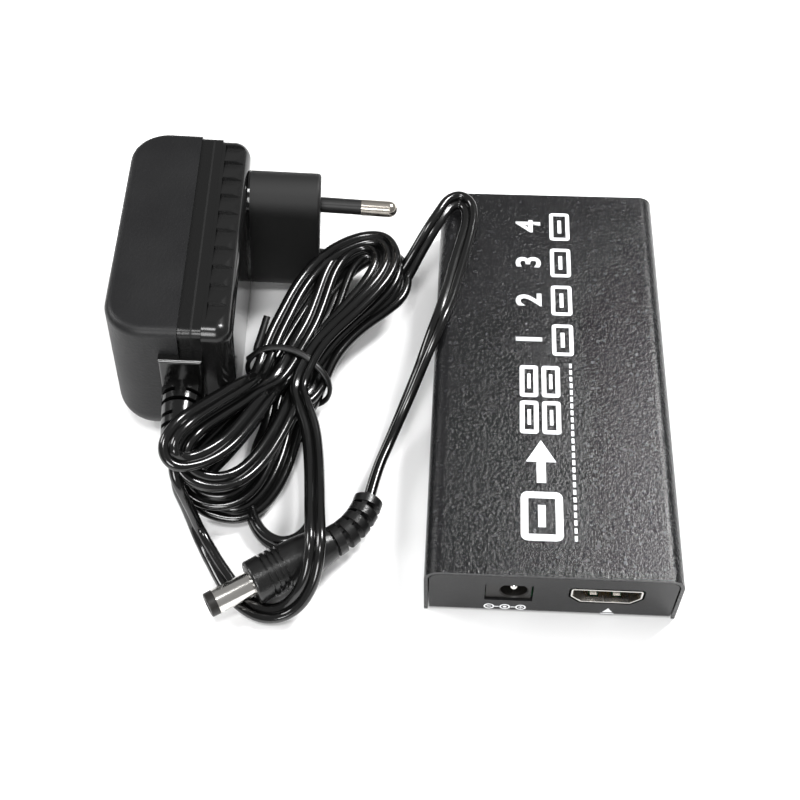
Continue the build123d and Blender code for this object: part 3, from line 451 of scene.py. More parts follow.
def zones_group():
    """Masks along the supply's own depth: end strip, closing seam, wall face, plug block, pins."""
    group, _, result = new_group("Supply zones", {}, list(SUPPLY_ZONES))
    place = group.nodes.new("ShaderNodeTexCoord").outputs["Object"]
    turned = feed(group, "ShaderNodeMapping", {
        "Vector": place, "Location": SUPPLY_PLACE, "Rotation": SUPPLY_TURN,
    }, vector_type="TEXTURE")
    parts = feed(group, "ShaderNodeSeparateXYZ", {"Vector": turned.outputs["Vector"]})
    for zone, (first, last) in SUPPLY_ZONES.items():
        inside = feed(group, "ShaderNodeMath", {
            0: parts.outputs["X"], 1: (first + last) / 2, 2: (last - first) / 2,
        }, operation="COMPARE")
        group.links.new(inside.outputs[0], result.inputs[zone])
    return group


def spread(tree, value, low, high):
    """The middle range of a noise, spread from low to high."""
    return feed(tree, "ShaderNodeMapRange", {
        "Value": value, "From Min": NOISE_LOW, "From Max": NOISE_HIGH,
        "To Min": low, "To Max": high,
    }).outputs["Result"]


def mixed(tree, factor, first, second):
    """Colour between two colours, as a mask says. Each colour is three numbers or a socket."""
    mix = feed(tree, "ShaderNodeMix", data_type="RGBA")
    tree.links.new(factor, mix.inputs[MIX_FACTOR])
    for place, colour in ((MIX_FIRST, first), (MIX_SECOND, second)):
        if isinstance(colour, bpy.types.NodeSocket):
            tree.links.new(colour, mix.inputs[place])
        else:
            mix.inputs[place].default_value = (*colour, 1.0)
    return mix.outputs[MIX_RESULT]


def new_material(name, **constants):
    """Material with a Principled shader whose constant sockets are set directly."""
    material = bpy.data.materials.new("finish_" + name)
    material.use_nodes = True
    tree = material.node_tree
    shader = tree.nodes["Principled BSDF"]
    for socket, value in constants.items():
        shader.inputs[socket.replace("_", " ")].default_value = value
    return material, tree, shader


def coat(name, groups, colour, rough, vary, bump, painted_glints=None, scale=2500.0, depth=0.0001,
         **constants):
    """Finish whose colour and roughness vary with handling, and whose pebbled texture gives the
    bump.
    Painted glints, where it has them, are a strength and a colour: light points in place of light
    glinting on the pebbles."""
    material, tree, shader = new_material(name, **constants)
    fine = feed(tree, "ShaderNodeGroup", node_tree=groups["pebbling_and_glints"])
    fine.inputs["Scale"].default_value = scale
    wear = feed(tree, "ShaderNodeGroup", node_tree=groups["wear"])
    clouds = wear.outputs["Clouds"]
    darker = [c * COAT_DARKER for c in colour]
    lighter = [c * COAT_LIGHTER for c in colour]
    base = mixed(tree, clouds, darker, lighter)
    # Painted glints: light colour on a few cells, standing for light that glints on the pebbled
    # coat
    if painted_glints:
        strength, glint_colour = painted_glints
        dimmed = feed(tree, "ShaderNodeMath", {
            0: fine.outputs["Painted glints"], 1: strength,
        }, operation="MULTIPLY")
        base = mixed(tree, dimmed.outputs[0], base, glint_colour)
    tree.links.new(base, shader.inputs["Base Color"])
    tree.links.new(spread(tree, clouds, rough - vary, rough + vary), shader.inputs["Roughness"])
    relief = feed(tree, "ShaderNodeBump", {
        "Strength": bump, "Distance": depth, "Height": fine.outputs["Height"],
    })
    tree.links.new(relief.outputs["Normal"], shader.inputs["Normal"])
    finishes[name] = material


def metal(name, groups, colour, rough):
    """Bare or plated metal, with fine scratches and dulled patches."""
    material, tree, shader = new_material(name, Metallic=1.0)
    wear = feed(tree, "ShaderNodeGroup", node_tree=groups["wear"])
    clouds, scratches = wear.outputs["Clouds"], wear.outputs["Scratches"]
    base = mixed(tree, clouds, [c * METAL_DARKER for c in colour], colour)
    tree.links.new(base, shader.inputs["Base Color"])
    dulled = spread(tree, clouds, rough * METAL_SMOOTHER, rough * METAL_DULLER)
    scored = feed(tree, "ShaderNodeMath", {
        0: scratches, 1: SCRATCH_ROUGHNESS, 2: dulled,
    }, operation="MULTIPLY_ADD")
    tree.links.new(scored.outputs[0], shader.inputs["Roughness"])
    relief = feed(tree, "ShaderNodeBump", {
        "Strength": SCRATCH_BUMP, "Distance": SCRATCH_DEPTH, "Height": scratches,
    })
    tree.links.new(relief.outputs["Normal"], shader.inputs["Normal"])
    finishes[name] = material


def set_zones(name, groups, zones):
    """Gives a finish a colour and roughness of its own in each of these zones of the supply."""
    tree = finishes[name].node_tree
    shader = tree.nodes["Principled BSDF"]
    masks = feed(tree, "ShaderNodeGroup", node_tree=groups["zones"])
    for zone, colour, rough in zones:
        base = shader.inputs["Base Color"].links[0].from_socket
        tree.links.new(mixed(tree, masks.outputs[zone], base, colour), shader.inputs["Base Color"])
        before = shader.inputs["Roughness"].links[0].from_socket
        blend = feed(tree, "ShaderNodeMapRange", {
            "Value": masks.outputs[zone], "To Min": before, "To Max": rough,
        })
        tree.links.new(blend.outputs["Result"], shader.inputs["Roughness"])


def make_paints(groups):
    """Finishes of the splitter's sheets and of the ink on them."""
    housing = tuple(settings().housing_colour)
    # Both paints carry painted glints: light points of colour in place of light glinting on the
    # pebbled coat
    coat(
        "cover_paint", groups, housing, rough=0.2, vary=0.03, bump=1.0,
        painted_glints=(0.12, (0.1, 0.1, 0.11)), scale=1500.0, depth=0.00018, Specular_IOR_Level=0.42,
    )
    coat(
        "tray_paint", groups, [c * TRAY_DARKER for c in housing], rough=0.38, vary=0.05, bump=0.3,
        painted_glints=(0.1, (0.08, 0.08, 0.09)), scale=3000.0, Specular_IOR_Level=0.3,
    )
    coat(
        "ink", groups, tuple(settings().ink_colour), rough=0.5, vary=0.05, bump=0.4, scale=2600.0,
    )


def make_plastics(groups):
    """Finishes of the supply's, the cord's, the plug's and the sockets' plastics."""
    coat(
        "supply_plastic", groups, tuple(settings().supply_colour), rough=0.46, vary=0.05, bump=0.8,
        scale=1500.0, Specular_IOR_Level=0.35,
    )
    coat(
        "supply_gloss", groups, (0.006, 0.006, 0.006), rough=0.2, vary=0.05, bump=0.12,
        scale=1500.0, Specular_IOR_Level=0.4,
    )
    coat(
        "sleeve_plastic", groups, (0.008, 0.008, 0.008), rough=0.4, vary=0.05, bump=0.2,
        Specular_IOR_Level=0.35,
    )
    coat(
        "plug_grip", groups, (0.006, 0.006, 0.006), rough=0.32, vary=0.06, bump=0.5,
        scale=1500.0, Specular_IOR_Level=0.5,
    )
    coat(
        "cord_vinyl", groups, (0.003, 0.003, 0.003), rough=0.16, vary=0.04, bump=0.1,
        scale=900.0, Specular_IOR_Level=0.6,
    )
    coat(
        "tie_vinyl", groups, (0.005, 0.005, 0.005), rough=0.36, vary=0.05, bump=0.2,
        Specular_IOR_Level=0.35,
    )
    coat(
        "socket_plastic", groups, (0.01, 0.009, 0.008), rough=0.45, vary=0.06, bump=0.2,
        Specular_IOR_Level=0.35,
    )
    strip = ("Strip", (0.004, 0.004, 0.004), 0.3)
    seam = ("Seam", (0.0005, 0.0005, 0.0005), 0.6)
    wall = ("Wall", (0.006, 0.006, 0.006), 0.1)
    block = ("Block", (0.003, 0.003, 0.003), 0.6)
    set_zones("supply_plastic", groups, [strip, seam])
    set_zones("supply_gloss", groups, [strip, seam, wall, block])


def make_board_coats(groups):
    """Finishes of the circuit boards, of what stands on them and of the cover's screws."""
    coat(
        "screw_black", groups, (0.03, 0.03, 0.032), rough=0.35, vary=0.06, bump=0.2, Metallic=0.6,
    )
    coat("chip_plastic", groups, (0.03, 0.03, 0.032), rough=0.55, vary=0.05, bump=0.5)
    coat("chip_ceramic", groups, (0.36, 0.27, 0.18), rough=0.45, vary=0.05, bump=0.2)
    coat("ferrite", groups, (0.06, 0.06, 0.062), rough=0.6, vary=0.08, bump=0.6)
    coat("board_laminate", groups, (0.01, 0.09, 0.035), rough=0.3, vary=0.06, bump=0.3)


def make_metals(groups):
    """Finishes of the pins, shells, contacts, standoffs, screws and cans."""
    metal("plug_metal", groups, (0.86, 0.84, 0.80), 0.2)
    metal("shell_metal", groups, (0.82, 0.80, 0.76), 0.22)
    metal("contact_gold", groups, (0.93, 0.66, 0.28), 0.2)
    metal("brass_hex", groups, (0.80, 0.60, 0.30), 0.26)
    metal("screw_steel", groups, (0.62, 0.62, 0.62), 0.24)
    metal("can_metal", groups, (0.76, 0.76, 0.78), 0.26)
    set_zones("plug_metal", groups, [("Pins", (0.52, 0.48, 0.43), 0.2)])


class SPLITTER_OT_finish_nodes(bpy.types.Operator):
    """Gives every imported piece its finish"""

    bl_idname = "splitter.finish_nodes"
    bl_label = "Finish the packed pieces"

    def execute(self, context):
        groups = {"pebbling_and_glints": grain_group(), "wear": wear_group(), "zones": zones_group()}
        make_paints(groups)
        make_plastics(groups)
        make_board_coats(groups)
        make_metals(groups)
        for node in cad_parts.values():
            for place in node.material_slots:
                place.material = finishes[place.material.name]
        return {"FINISHED"}


# Cord

# Length of a level direction across a tangent below which the tangent counts as upright, and
# points of the cord's line for each control point
UPRIGHT_LIMIT = 0.05
CORD_RESOLUTION = 9

# Section of the cord: half the thickness of its web as a share of a core's radius, and the angles
# round a core, in degrees, at which its outline has points
WEB_SHARE = 0.42
CORE_ANGLES = range(-125, 126, 25)

# Faces that meet at less than this angle, in degrees, are shaded as one
SMOOTH_ANGLE = 50


def slot_point(column, level):
    """Middle of a strand in the tie."""
    return (
        TIE_MIDDLE
        + TIE_ACROSS * ((column - MIDDLE_COLUMN) * COLUMN_PITCH)
        + TIE_NORMAL * ((level - MIDDLE_LEVEL) * LEVEL_PITCH)
    )


def cord_points():
    """Control points of the whole cord, and the lean of its flat side where it is set."""
    points = []
    leans = {}
    for number, stretch in enumerate(STRETCHES):
        for point in stretch:
            if len(point) == 4:
                leans[len(points)] = point[3]
            points.append(Vector(point[:3]))
        if number < len(PASSES):
            leans[len(points)] = -TIE_LEAN if number % 2 == 0 else TIE_LEAN
            points.append(slot_point(*PASSES[number]))
    return [point * MM for point in points], leans


def smooth_line(points, resolution):
    """Points of an open NURBS curve through this route, read from the curve itself."""
    data = bpy.data.curves.new("route", "CURVE")
    data.dimensions = "3D"
    data.resolution_u = resolution
    spline = data.splines.new("NURBS")
    spline.points.add(len(points) - 1)
    for control, point in zip(spline.points, points):
        control.co = (*point, 1.0)
    spline.order_u = 3
    spline.use_endpoint_u = True
    curve = bpy.data.objects.new("route", data)
    bpy.context.scene.collection.objects.link(curve)
    mesh = bpy.data.meshes.new_from_object(curve)
    line = [mesh.vertices[0].co.copy()]
    for vertex in mesh.vertices:
        if (vertex.co - line[-1]).length > LEAST_STEP:
            line.append(vertex.co.copy())
    bpy.data.meshes.remove(mesh)
    bpy.data.objects.remove(curve)
    bpy.data.curves.remove(data)
    return line


def tangents_of(line):
    """Direction at each point of a line."""
    last = len(line) - 1
    return [(line[min(i + 1, last)] - line[max(i - 1, 0)]).normalized() for i in range(last + 1)]


def level_side(tangent):
    """Level direction across a tangent."""
    side = tangent.cross(Vector((0, 0, 1)))
    return side.normalized() if side.length > UPRIGHT_LIMIT else Vector((1, 0, 0))


def held_share(share):
    """Share held between 0 and 1."""
    return min(max(share, 0), 1)


def carried_sides(tangents):
    """Direction across each tangent, carried along the line without twist."""
    sides = [level_side(tangents[0])]
    for before, here in zip(tangents, tangents[1:]):
        side = before.rotation_difference(here) @ sides[-1]
        sides.append((side - here * side.dot(here)).normalized())
    return sides


def lean_stations(tangents, sides, leans, control_count):
    """Places along the line where the lean is set, each with its turn from the carried side. Of
    the two ways round, a turn goes the one that is nearer to the turn before."""
    last = len(tangents) - 1
    stations = []
    # A curve of order 3 has two spans fewer than control points, and each of those acts most
    # half a span before its own number
    for control in sorted(leans):
        index = round(held_share((control - 0.5) / (control_count - 2)) * last)
        tangent = tangents[index]
        flat = Matrix.Rotation(radians(leans[control]), 3, tangent) @ level_side(tangent)
        turn = sides[index].angle(flat)
        if sides[index].cross(flat).dot(tangent) < 0:
            turn = -turn
        if stations:
            while turn - stations[-1][1] > pi / 2:
                turn -= pi
            while turn - stations[-1][1] < -pi / 2:
                turn += pi
        stations.append((index, turn))
    return stations


def strand_sides(line, leans, control_count):
    """Tangent and direction of the flat side at each point, turned evenly from one set lean to
    the next."""
    tangents = tangents_of(line)
    sides = carried_sides(tangents)
    stations = lean_stations(tangents, sides, leans, control_count)
    turned = []
    place = 0
    for index, side in enumerate(sides):
        while place < len(stations) - 2 and index > stations[place + 1][0]:
            place += 1
        (start, first), (end, second) = stations[place], stations[place + 1]
        share = held_share((index - start) / max(end - start, 1))
        share = share * share * (3 - 2 * share)
        angle = first + (second - first) * share
        turned.append(Matrix.Rotation(angle, 3, tangents[index]) @ side)
    return tangents, turned


def twin_section(radius):
    """Outline of two cores joined by a thin web."""
    web = radius * WEB_SHARE
    right = [(radius + radius * cos(radians(a)), radius * sin(radians(a))) for a in CORE_ANGLES]
    left = [(-x, -y) for x, y in right]
    return right + [(0, web)] + left + [(0, -web)]


def swept(name, line, section, tangents, sides):
    """Closed mesh of a section carried along a line, shaded smooth but for its sharp edges."""
    count = len(section)
    vertices = []
    for point, tangent, side in zip(line, tangents, sides):
        up = tangent.cross(side)
        vertices += [point + side * x + up * y for x, y in section]
    faces = []
    for ring in range(len(line) - 1):
        for i in range(count):
            j = (i + 1) % count
            a, b = ring * count + i, ring * count + j
            faces.append((a, b, b + count, a + count))
    mesh = bpy.data.meshes.new(name)
    mesh.from_pydata(vertices, [], faces)
    piece = bpy.data.objects.new(name, mesh)
    bpy.context.scene.collection.objects.link(piece)
    made = bmesh.new()
    made.from_mesh(mesh)
    made.verts.ensure_lookup_table()
    made.faces.new([made.verts[i] for i in range(count)])
    made.faces.new([made.verts[len(line) * count - 1 - i] for i in range(count)])
    bmesh.ops.recalc_face_normals(made, faces=made.faces)
    made.to_mesh(mesh)
    made.free()
    select_only(piece)
    bpy.ops.object.shade_smooth_by_angle(angle=radians(SMOOTH_ANGLE))
    return piece


class SPLITTER_OT_lay_cord(bpy.types.Operator):
    """Lays the flat twin cord from the gland through the tie to the plug"""

    bl_idname = "splitter.lay_cord"
    bl_label = "Lay the cord"

    def execute(self, context):
        radius = settings().core_radius
        points, leans = cord_points()
        line = smooth_line(points, CORD_RESOLUTION)
        tangents, sides = strand_sides(line, leans, len(points))
        cord = swept("twin_cord", line, twin_section(radius), tangents, sides)
        keep(cord, finishes["cord_vinyl"], "cord_lead", "cord_loop", "cord_run", "cord_hank")
        return {"FINISHED"}


# Printed marks, in millimetres along and across the direction of reading. They show one socket
# in and four out

# Where the cover's marks start, in the frame
PRINT_START = Vector((2.0, -46.7, 17.0))

# Length, height and stroke of a socket's outline, then length and height of the bar inside it
INPUT_SIGN = (12.0, 9.0, 1.6, 5.4, 1.6)
OUTPUT_SIGN = (9.0, 4.2, 1.05, 4.2, 0.75)
COUNTED_SIGN = (9.4, 5.0, 0.95, 4.4, 0.9)

# How far a socket's corners are cut, as a share of its height, and in how many steps
CORNER_SHARE = 0.16
CORNER_STEPS = 3

# The input's sign and the arrow that follows it in the same row: its shaft's place and size, its
# head's place and radius
INPUT_AT = 6.0
INPUT_ROW = 4.5
SHAFT_AT = 17.0
SHAFT_SIZE = (5.4, 2.0)
HEAD_AT = 21.6
HEAD_RADIUS = 3.8

# Four outputs, two by two
OUTPUTS_START = (31.6, 2.0)
OUTPUTS_PITCH = (10.1, 5.0)

# Dashed line below them
DASH_ROW = -2.6
DASH_START = 0.8
DASH_PITCH = 1.9
DASH_COUNT = 25
DASH_SIZE = (1.25, 0.6)

# Numbers 1 to 4, each over its socket, and how much bolder than the font they are drawn
COUNT = 4
COUNT_START = 54.0
COUNT_PITCH = 12.2
NUMBER_ROW = 3.8
NUMBER_HEIGHT = 6.2
NUMBER_BOLDER = 0.022
COUNTED_ROW = -1.0

# Polarity sign under the jack: three rings, a minus, a dot and a plus in them, joined by bars
RING_AT = (-13.0, -9.6, -6.2)
JOIN_AT = (-11.35, -7.85)
RING_RADIUS = 1.15
STROKE = 0.34
BAR_LENGTH = 1.0
JOIN_STROKE = 0.3
DOT_RADIUS = 0.42

# Arrow of the input, over a bar, and the height of the front's signs above the bottom
POINTER_AT = 12.4
POINTER_RADIUS = 1.25
POINTER_BAR = (2.8, STROKE)
POINTER_BAR_ROW = -1.2
FRONT_HEIGHT = 2.5


def flat_bar(u, v, length, height):
    """Flat bar round this middle."""
    bpy.ops.object.select_all(action="DESELECT")
    bpy.ops.mesh.primitive_plane_add(size=1, location=(u * MM, v * MM, 0))
    bar = bpy.context.active_object
    bar.scale = (length * MM, height * MM, 1)
    bpy.ops.object.transform_apply(location=True, rotation=True, scale=True)
    return bar


def hollowed(piece, stroke):
    """Takes the middle out of a flat shape and leaves its outline."""
    select_only(piece)
    bpy.ops.object.mode_set(mode="EDIT")
    bpy.ops.mesh.select_all(action="SELECT")
    bpy.ops.mesh.inset(thickness=stroke * MM)
    bpy.ops.mesh.delete(type="FACE")
    bpy.ops.object.mode_set(mode="OBJECT")
    return piece


def socket_sign(u, v, sizes):
    """Socket: the outline of a bar with its corners cut off, and a bar inside it."""
    length, height, stroke, bar_length, bar_height = sizes
    outline = flat_bar(u, v, length, height)
    bpy.ops.object.mode_set(mode="EDIT")
    bpy.ops.mesh.select_mode(type="VERT")
    bpy.ops.mesh.select_all(action="SELECT")
    bpy.ops.mesh.bevel(
        offset=height * CORNER_SHARE * MM, segments=CORNER_STEPS, affect="VERTICES"
    )
    bpy.ops.mesh.select_mode(type="FACE")
    bpy.ops.object.mode_set(mode="OBJECT")
    return [hollowed(outline, stroke), flat_bar(u, v, bar_length, bar_height)]


def disc(u, v, radius, corners=32, turn=0.0):
    """Flat disc, or a flat shape of few corners."""
    bpy.ops.object.select_all(action="DESELECT")
    bpy.ops.mesh.primitive_circle_add(
        vertices=corners, radius=radius * MM, fill_type="NGON", location=(u * MM, v * MM, 0),
        rotation=(0, 0, turn),
    )
    made = bpy.context.active_object
    bpy.ops.object.transform_apply(location=True, rotation=True, scale=True)
    return made


def plain_number(number, u, v, height):
    """Number of this height, standing on this place."""
    bpy.ops.object.select_all(action="DESELECT")
    bpy.ops.object.text_add()
    sign = bpy.context.active_object
    sign.data.body = str(number)
    sign.data.size = 1.0
    sign.data.offset = NUMBER_BOLDER
    bpy.ops.object.convert(target="MESH")
    corners = [vertex.co for vertex in sign.data.vertices]
    left = min(c.x for c in corners)
    right = max(c.x for c in corners)
    low = min(c.y for c in corners)
    high = max(c.y for c in corners)
    size = height * MM / (high - low)
    sign.scale = (size, size, size)
    sign.location = (u * MM - size * (left + right) / 2, v * MM - size * low, 0)
    bpy.ops.object.transform_apply(location=True, rotation=True, scale=True)
    return sign


def polarity_ring(u):
    """Ring of the polarity sign."""
    return hollowed(disc(u, 0.0, RING_RADIUS), STROKE)


def printed(name, signs, place, turn):
    """Joins flat signs to one layer of ink and lays it on its face of the housing."""
    bpy.ops.object.select_all(action="DESELECT")
    for sign in signs:
        sign.select_set(True)
    ink = signs[0]
    bpy.context.view_layer.objects.active = ink
    bpy.ops.object.join()
    ink.name = name
    bpy.ops.object.mode_set(mode="EDIT")
    bpy.ops.mesh.select_all(action="SELECT")
    bpy.ops.mesh.normals_make_consistent(inside=False)
    bpy.ops.object.mode_set(mode="OBJECT")
    if sum(face.normal.z for face in ink.data.polygons) < 0:
        ink.data.flip_normals()
    layer = ink.modifiers.new("layer", "SOLIDIFY")
    layer.thickness = settings().print_height
    layer.offset = 1.0
    bpy.ops.object.modifier_apply(modifier=layer.name)
    ink.location = place * MM
    ink.rotation_euler = turn
    bpy.ops.object.transform_apply(location=True, rotation=True, scale=True)
    keep(ink, finishes["ink"])


class SPLITTER_OT_print_cover(bpy.types.Operator):
    """Prints the signs on the cover: a socket, an arrow, four sockets and their numbers"""

    bl_idname = "splitter.print_cover"
    bl_label = "Print the cover"

    def execute(self, context):
        signs = socket_sign(INPUT_AT, INPUT_ROW, INPUT_SIGN)
        signs += [
            flat_bar(SHAFT_AT, INPUT_ROW, *SHAFT_SIZE),
            disc(HEAD_AT, INPUT_ROW, HEAD_RADIUS, corners=3, turn=-pi / 2),
        ]
        for column in range(2):
            for row in range(2):
                u = OUTPUTS_START[0] + OUTPUTS_PITCH[0] * column
                v = OUTPUTS_START[1] + OUTPUTS_PITCH[1] * row
                signs += socket_sign(u, v, OUTPUT_SIGN)
        signs += [
            flat_bar(DASH_START + DASH_PITCH * step, DASH_ROW, *DASH_SIZE)
            for step in range(DASH_COUNT)
        ]
        for number in range(COUNT):
            u = COUNT_START + COUNT_PITCH * number
            signs.append(plain_number(number + 1, u, NUMBER_ROW, NUMBER_HEIGHT))
            signs += socket_sign(u, COUNTED_ROW, COUNTED_SIGN)
        printed("cover_print", signs, PRINT_START, (0, 0, pi / 2))
        return {"FINISHED"}


class SPLITTER_OT_print_front(bpy.types.Operator):
    """Prints the polarity sign and the arrow of the input on the front"""

    bl_idname = "splitter.print_front"
    bl_label = "Print the front"

    def execute(self, context):
        minus, centre, plus = RING_AT
        signs = [
            polarity_ring(minus),
            flat_bar(minus, 0.0, BAR_LENGTH, STROKE),
            flat_bar(JOIN_AT[0], 0.0, BAR_LENGTH, JOIN_STROKE),
            polarity_ring(centre),
            disc(centre, 0.0, DOT_RADIUS),
            flat_bar(JOIN_AT[1], 0.0, BAR_LENGTH, JOIN_STROKE),
            polarity_ring(plus),
            flat_bar(plus, 0.0, BAR_LENGTH, STROKE),
            flat_bar(plus, 0.0, STROKE, BAR_LENGTH),
            disc(POINTER_AT, 0.0, POINTER_RADIUS, corners=3),
            flat_bar(POINTER_AT, POINTER_BAR_ROW, *POINTER_BAR),
        ]
        front = min(corner.y for corner in corners_of(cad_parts["base_tray"]))
        printed("front_print", signs, Vector((0, front / MM, FRONT_HEIGHT)), (pi / 2, 0, 0))
        return {"FINISHED"}


# Dome on the jack's pin: its radius as a share of the pin's, and its faces round and along
DOME_SHARE = 0.98
DOME_SEGMENTS = 24
DOME_RINGS = 12


class SPLITTER_OT_round_pin(bpy.types.Operator):
    """Rounds the end of the pin in the power jack"""

    bl_idname = "splitter.round_pin"
    bl_label = "Round the jack's pin"

    def execute(self, context):
        corners = corners_of(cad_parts["dc_jack_pin"])
        middle = sum(corners, Vector()) / len(corners)
        radius = max(corner.x for corner in corners) - middle.x
        tip = min(corner.y for corner in corners)
        bpy.ops.object.select_all(action="DESELECT")
        bpy.ops.mesh.primitive_uv_sphere_add(
            segments=DOME_SEGMENTS, ring_count=DOME_RINGS, radius=radius * DOME_SHARE,
            location=(middle.x, tip, middle.z),
        )
        dome = context.active_object
        dome.name = "jack_pin_dome"
        bpy.ops.object.transform_apply(location=True, rotation=True, scale=True)
        bpy.ops.object.shade_smooth()
        keep(dome, finishes["plug_metal"])
        return {"FINISHED"}


# Tie round the folded cord, in millimetres: place across it, height over the middle of the tie,
# and how far the ring leans along the hank there
TIE_RING = [
    (-11.0, 0.4, 4.6), (-8.6, 3.2, 6.7), (-4.6, 4.6, 7.9), (0.2, 5.1, 7.8), (4.6, 4.9, 6.2),
    (8.4, 3.6, 4.2), (10.4, 1.0, 2.4), (9.9, -1.9, 0.6), (6.4, -4.0, -0.6), (1.0, -4.6, -0.6),
    (-5.0, -4.4, 0.6), (-10.0, -2.6, 2.4),
]
# Route of the tie's loose tail: x, y, z in millimetres
TIE_TAIL = [
    (-66.4, 4.4, 10.6), (-69.6, 4.2, 10.6), (-70.0, 6.2, 11.6), (-69.2, 8.6, 12.8),
    (-68.5, 11.2, 14.0), (-67.9, 13.4, 15.1),
]

# Points of the tie's line for each control point, its thickness as a share of its width, and the
# angles at which its section has points
TIE_RESOLUTION = 10
TIE_FLATNESS = 0.62
TIE_ANGLES = range(0, 360, 30)


class SPLITTER_OT_wrap_tie(bpy.types.Operator):
    """Wraps the tie round the folded cord and leaves its tail standing"""

    bl_idname = "splitter.wrap_tie"
    bl_label = "Wrap the tie"

    def execute(self, context):
        half = settings().tie_width / 2
        strip = [
            (half * cos(radians(a)), TIE_FLATNESS * half * sin(radians(a))) for a in TIE_ANGLES
        ]
        ring_points = [
            (TIE_MIDDLE + TIE_ACROSS * across + TIE_NORMAL * over + TIE_HEADING * along) * MM
            for across, over, along in TIE_RING
        ]
        line = smooth_line(ring_points + ring_points[:2], TIE_RESOLUTION)
        tangents = tangents_of(line)
        sides = [(TIE_HEADING - t * TIE_HEADING.dot(t)).normalized() for t in tangents]
        tie = swept("cord_tie_strip", line, strip, tangents, sides)
        line = smooth_line([Vector(point) * MM for point in TIE_TAIL], TIE_RESOLUTION)
        tangents = tangents_of(line)
        tail = swept("cord_tie_tail", line, strip, tangents, [level_side(t) for t in tangents])
        keep(tie, finishes["tie_vinyl"], "cord_tie")
        keep(tail, finishes["tie_vinyl"])
        return {"FINISHED"}


# Camera and stage, in metres and watts

# Floor: its width, how far it lies below the parts, and its roughness
FLOOR_SIZE = 8
FLOOR_GAP = 0.00002
FLOOR_ROUGHNESS = 0.6

# Brightness of the white surroundings, where the lamps point, and each lamp's place, width and
# power
STUDIO_STRENGTH = 0.3
LAMP_TARGET = Vector((-0.03, 0.0, 0.01))
LAMPS = {
    "left": (Vector((-0.85, 0.15, 0.75)), 0.4, 5.5),
    "right": (Vector((0.22, 0.2, 0.43)), 0.15, 3.1),
    "front": (Vector((-0.1, -1.0, 0.7)), 0.5, 8.0),
    "top": (Vector((-0.05, -0.25, 1.0)), 0.22, 3.8),
}

# Camera of the photograph, worked out from the splitter's corners. Lens and sensor are in
# millimetres
CAMERA_PLACE = Vector((-0.02131, -0.17270, 0.24059))
CAMERA_AZIMUTH = radians(4.60)
CAMERA_ELEVATION = radians(54.14)
CAMERA_ROLL = radians(-1.81)
CAMERA_LENS = 54.59
CAMERA_SENSOR = 36
NEAREST_SEEN = 0.01


def lay_floor():
    """Floor under the lowest point of the parts."""
    bpy.ops.object.select_all(action="DESELECT")
    bpy.ops.mesh.primitive_plane_add(size=FLOOR_SIZE, location=(0, 0, cad_box[0][2] - FLOOR_GAP))
    floor = bpy.context.active_object
    floor.name = "floor"
    bpy.ops.object.transform_apply(location=True, rotation=True, scale=True)
    material, _, shader = new_material("floor", Roughness=FLOOR_ROUGHNESS)
    shader.inputs["Base Color"].default_value = (*settings().floor_colour, 1.0)
    floor.data.materials.append(material)


def light_studio(scene):
    """White surroundings and four round lamps."""
    world = bpy.data.worlds.new("studio")
    scene.world = world
    world.use_nodes = True
    surroundings = world.node_tree.nodes["Background"]
    surroundings.inputs["Color"].default_value = (1, 1, 1, 1)
    surroundings.inputs["Strength"].default_value = STUDIO_STRENGTH
    for name, (place, width, power) in LAMPS.items():
        light = bpy.data.lights.new(name, "AREA")
        light.shape = "DISK"
        light.size = width
        light.energy = power
        lamp = bpy.data.objects.new(name, light)
        scene.collection.objects.link(lamp)
        lamp.location = place
        lamp.rotation_euler = (LAMP_TARGET - place).to_track_quat("-Z", "Y").to_euler()
    scene.view_settings.view_transform = "Standard"


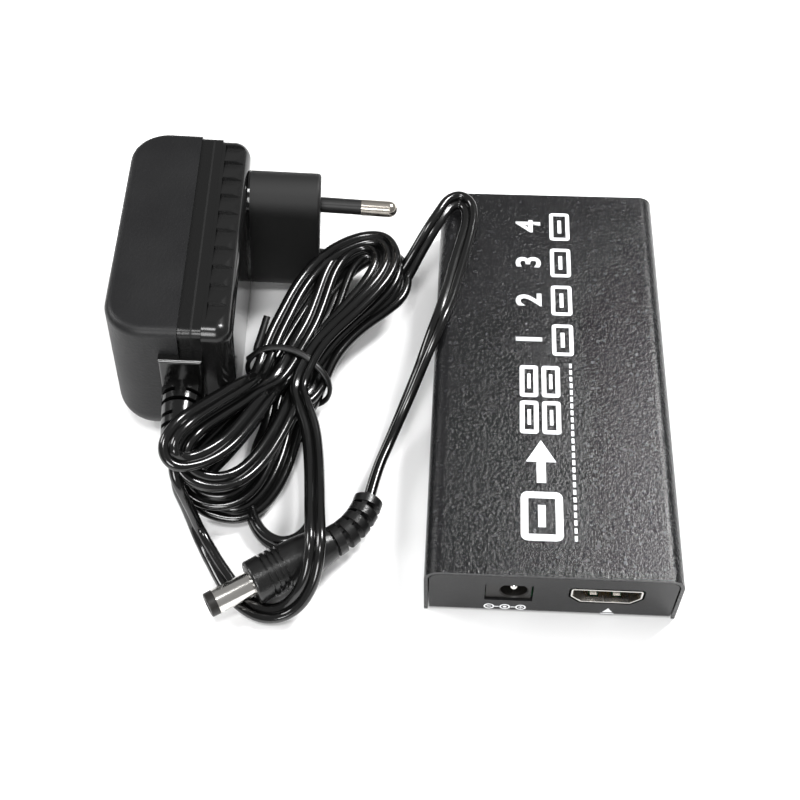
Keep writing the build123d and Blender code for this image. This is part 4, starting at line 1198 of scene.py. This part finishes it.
def set_camera(scene):
    """Camera at the photograph's place, turned by its own roll."""
    level = cos(CAMERA_ELEVATION)
    back = Vector((
        sin(CAMERA_AZIMUTH) * level, -cos(CAMERA_AZIMUTH) * level, sin(CAMERA_ELEVATION),
    ))
    right = (-back).cross(Vector((0, 0, 1))).normalized()
    up = right.cross(-back)
    turned_right = right * cos(CAMERA_ROLL) + up * sin(CAMERA_ROLL)
    turned_up = up * cos(CAMERA_ROLL) - right * sin(CAMERA_ROLL)
    data = bpy.data.cameras.new("camera")
    data.sensor_width = CAMERA_SENSOR
    data.lens = CAMERA_LENS
    data.clip_start = NEAREST_SEEN
    camera = bpy.data.objects.new("camera", data)
    scene.collection.objects.link(camera)
    pose = Matrix((turned_right, turned_up, back)).transposed().to_4x4()
    pose.translation = CAMERA_PLACE
    camera.matrix_world = pose
    scene.camera = camera


class SPLITTER_OT_set_stage(bpy.types.Operator):
    """Sets the floor, the lights and the camera"""

    bl_idname = "splitter.set_stage"
    bl_label = "Set the stage"

    def execute(self, context):
        lay_floor()
        light_studio(context.scene)
        set_camera(context.scene)
        return {"FINISHED"}


class SPLITTER_PT_panel(bpy.types.Panel):
    """Sizes, colours and steps of the model"""

    bl_label = "Video splitter"
    bl_idname = "SPLITTER_PT_panel"
    bl_space_type = "VIEW_3D"
    bl_region_type = "UI"
    bl_category = "Splitter"

    def draw(self, context):
        for name in SplitterSettings.__annotations__:
            self.layout.prop(context.scene.splitter, name)
        for step in OPERATORS:
            self.layout.operator(step.bl_idname)


# Steps, in the order in which main calls them
OPERATORS = (
    SPLITTER_OT_finish_nodes,
    SPLITTER_OT_lay_cord,
    SPLITTER_OT_wrap_tie,
    SPLITTER_OT_print_cover,
    SPLITTER_OT_print_front,
    SPLITTER_OT_round_pin,
    SPLITTER_OT_set_stage,
)


def register():
    """Registers the settings, the operators and the panel."""
    bpy.utils.register_class(SplitterSettings)
    bpy.types.Scene.splitter = bpy.props.PointerProperty(type=SplitterSettings)
    for operator in OPERATORS:
        bpy.utils.register_class(operator)
    bpy.utils.register_class(SPLITTER_PT_panel)


def unregister():
    """Takes away all that register added, in reverse."""
    bpy.utils.unregister_class(SPLITTER_PT_panel)
    for operator in reversed(OPERATORS):
        bpy.utils.unregister_class(operator)
    del bpy.types.Scene.splitter
    bpy.utils.unregister_class(SplitterSettings)


def main():
    """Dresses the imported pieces, adds the cord, tie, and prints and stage."""
    register()
    bpy.ops.splitter.finish_nodes()
    bpy.ops.splitter.lay_cord()
    bpy.ops.splitter.wrap_tie()
    bpy.ops.splitter.print_cover()
    bpy.ops.splitter.print_front()
    bpy.ops.splitter.round_pin()
    bpy.ops.splitter.set_stage()


if __name__ == "__main__":
    main()
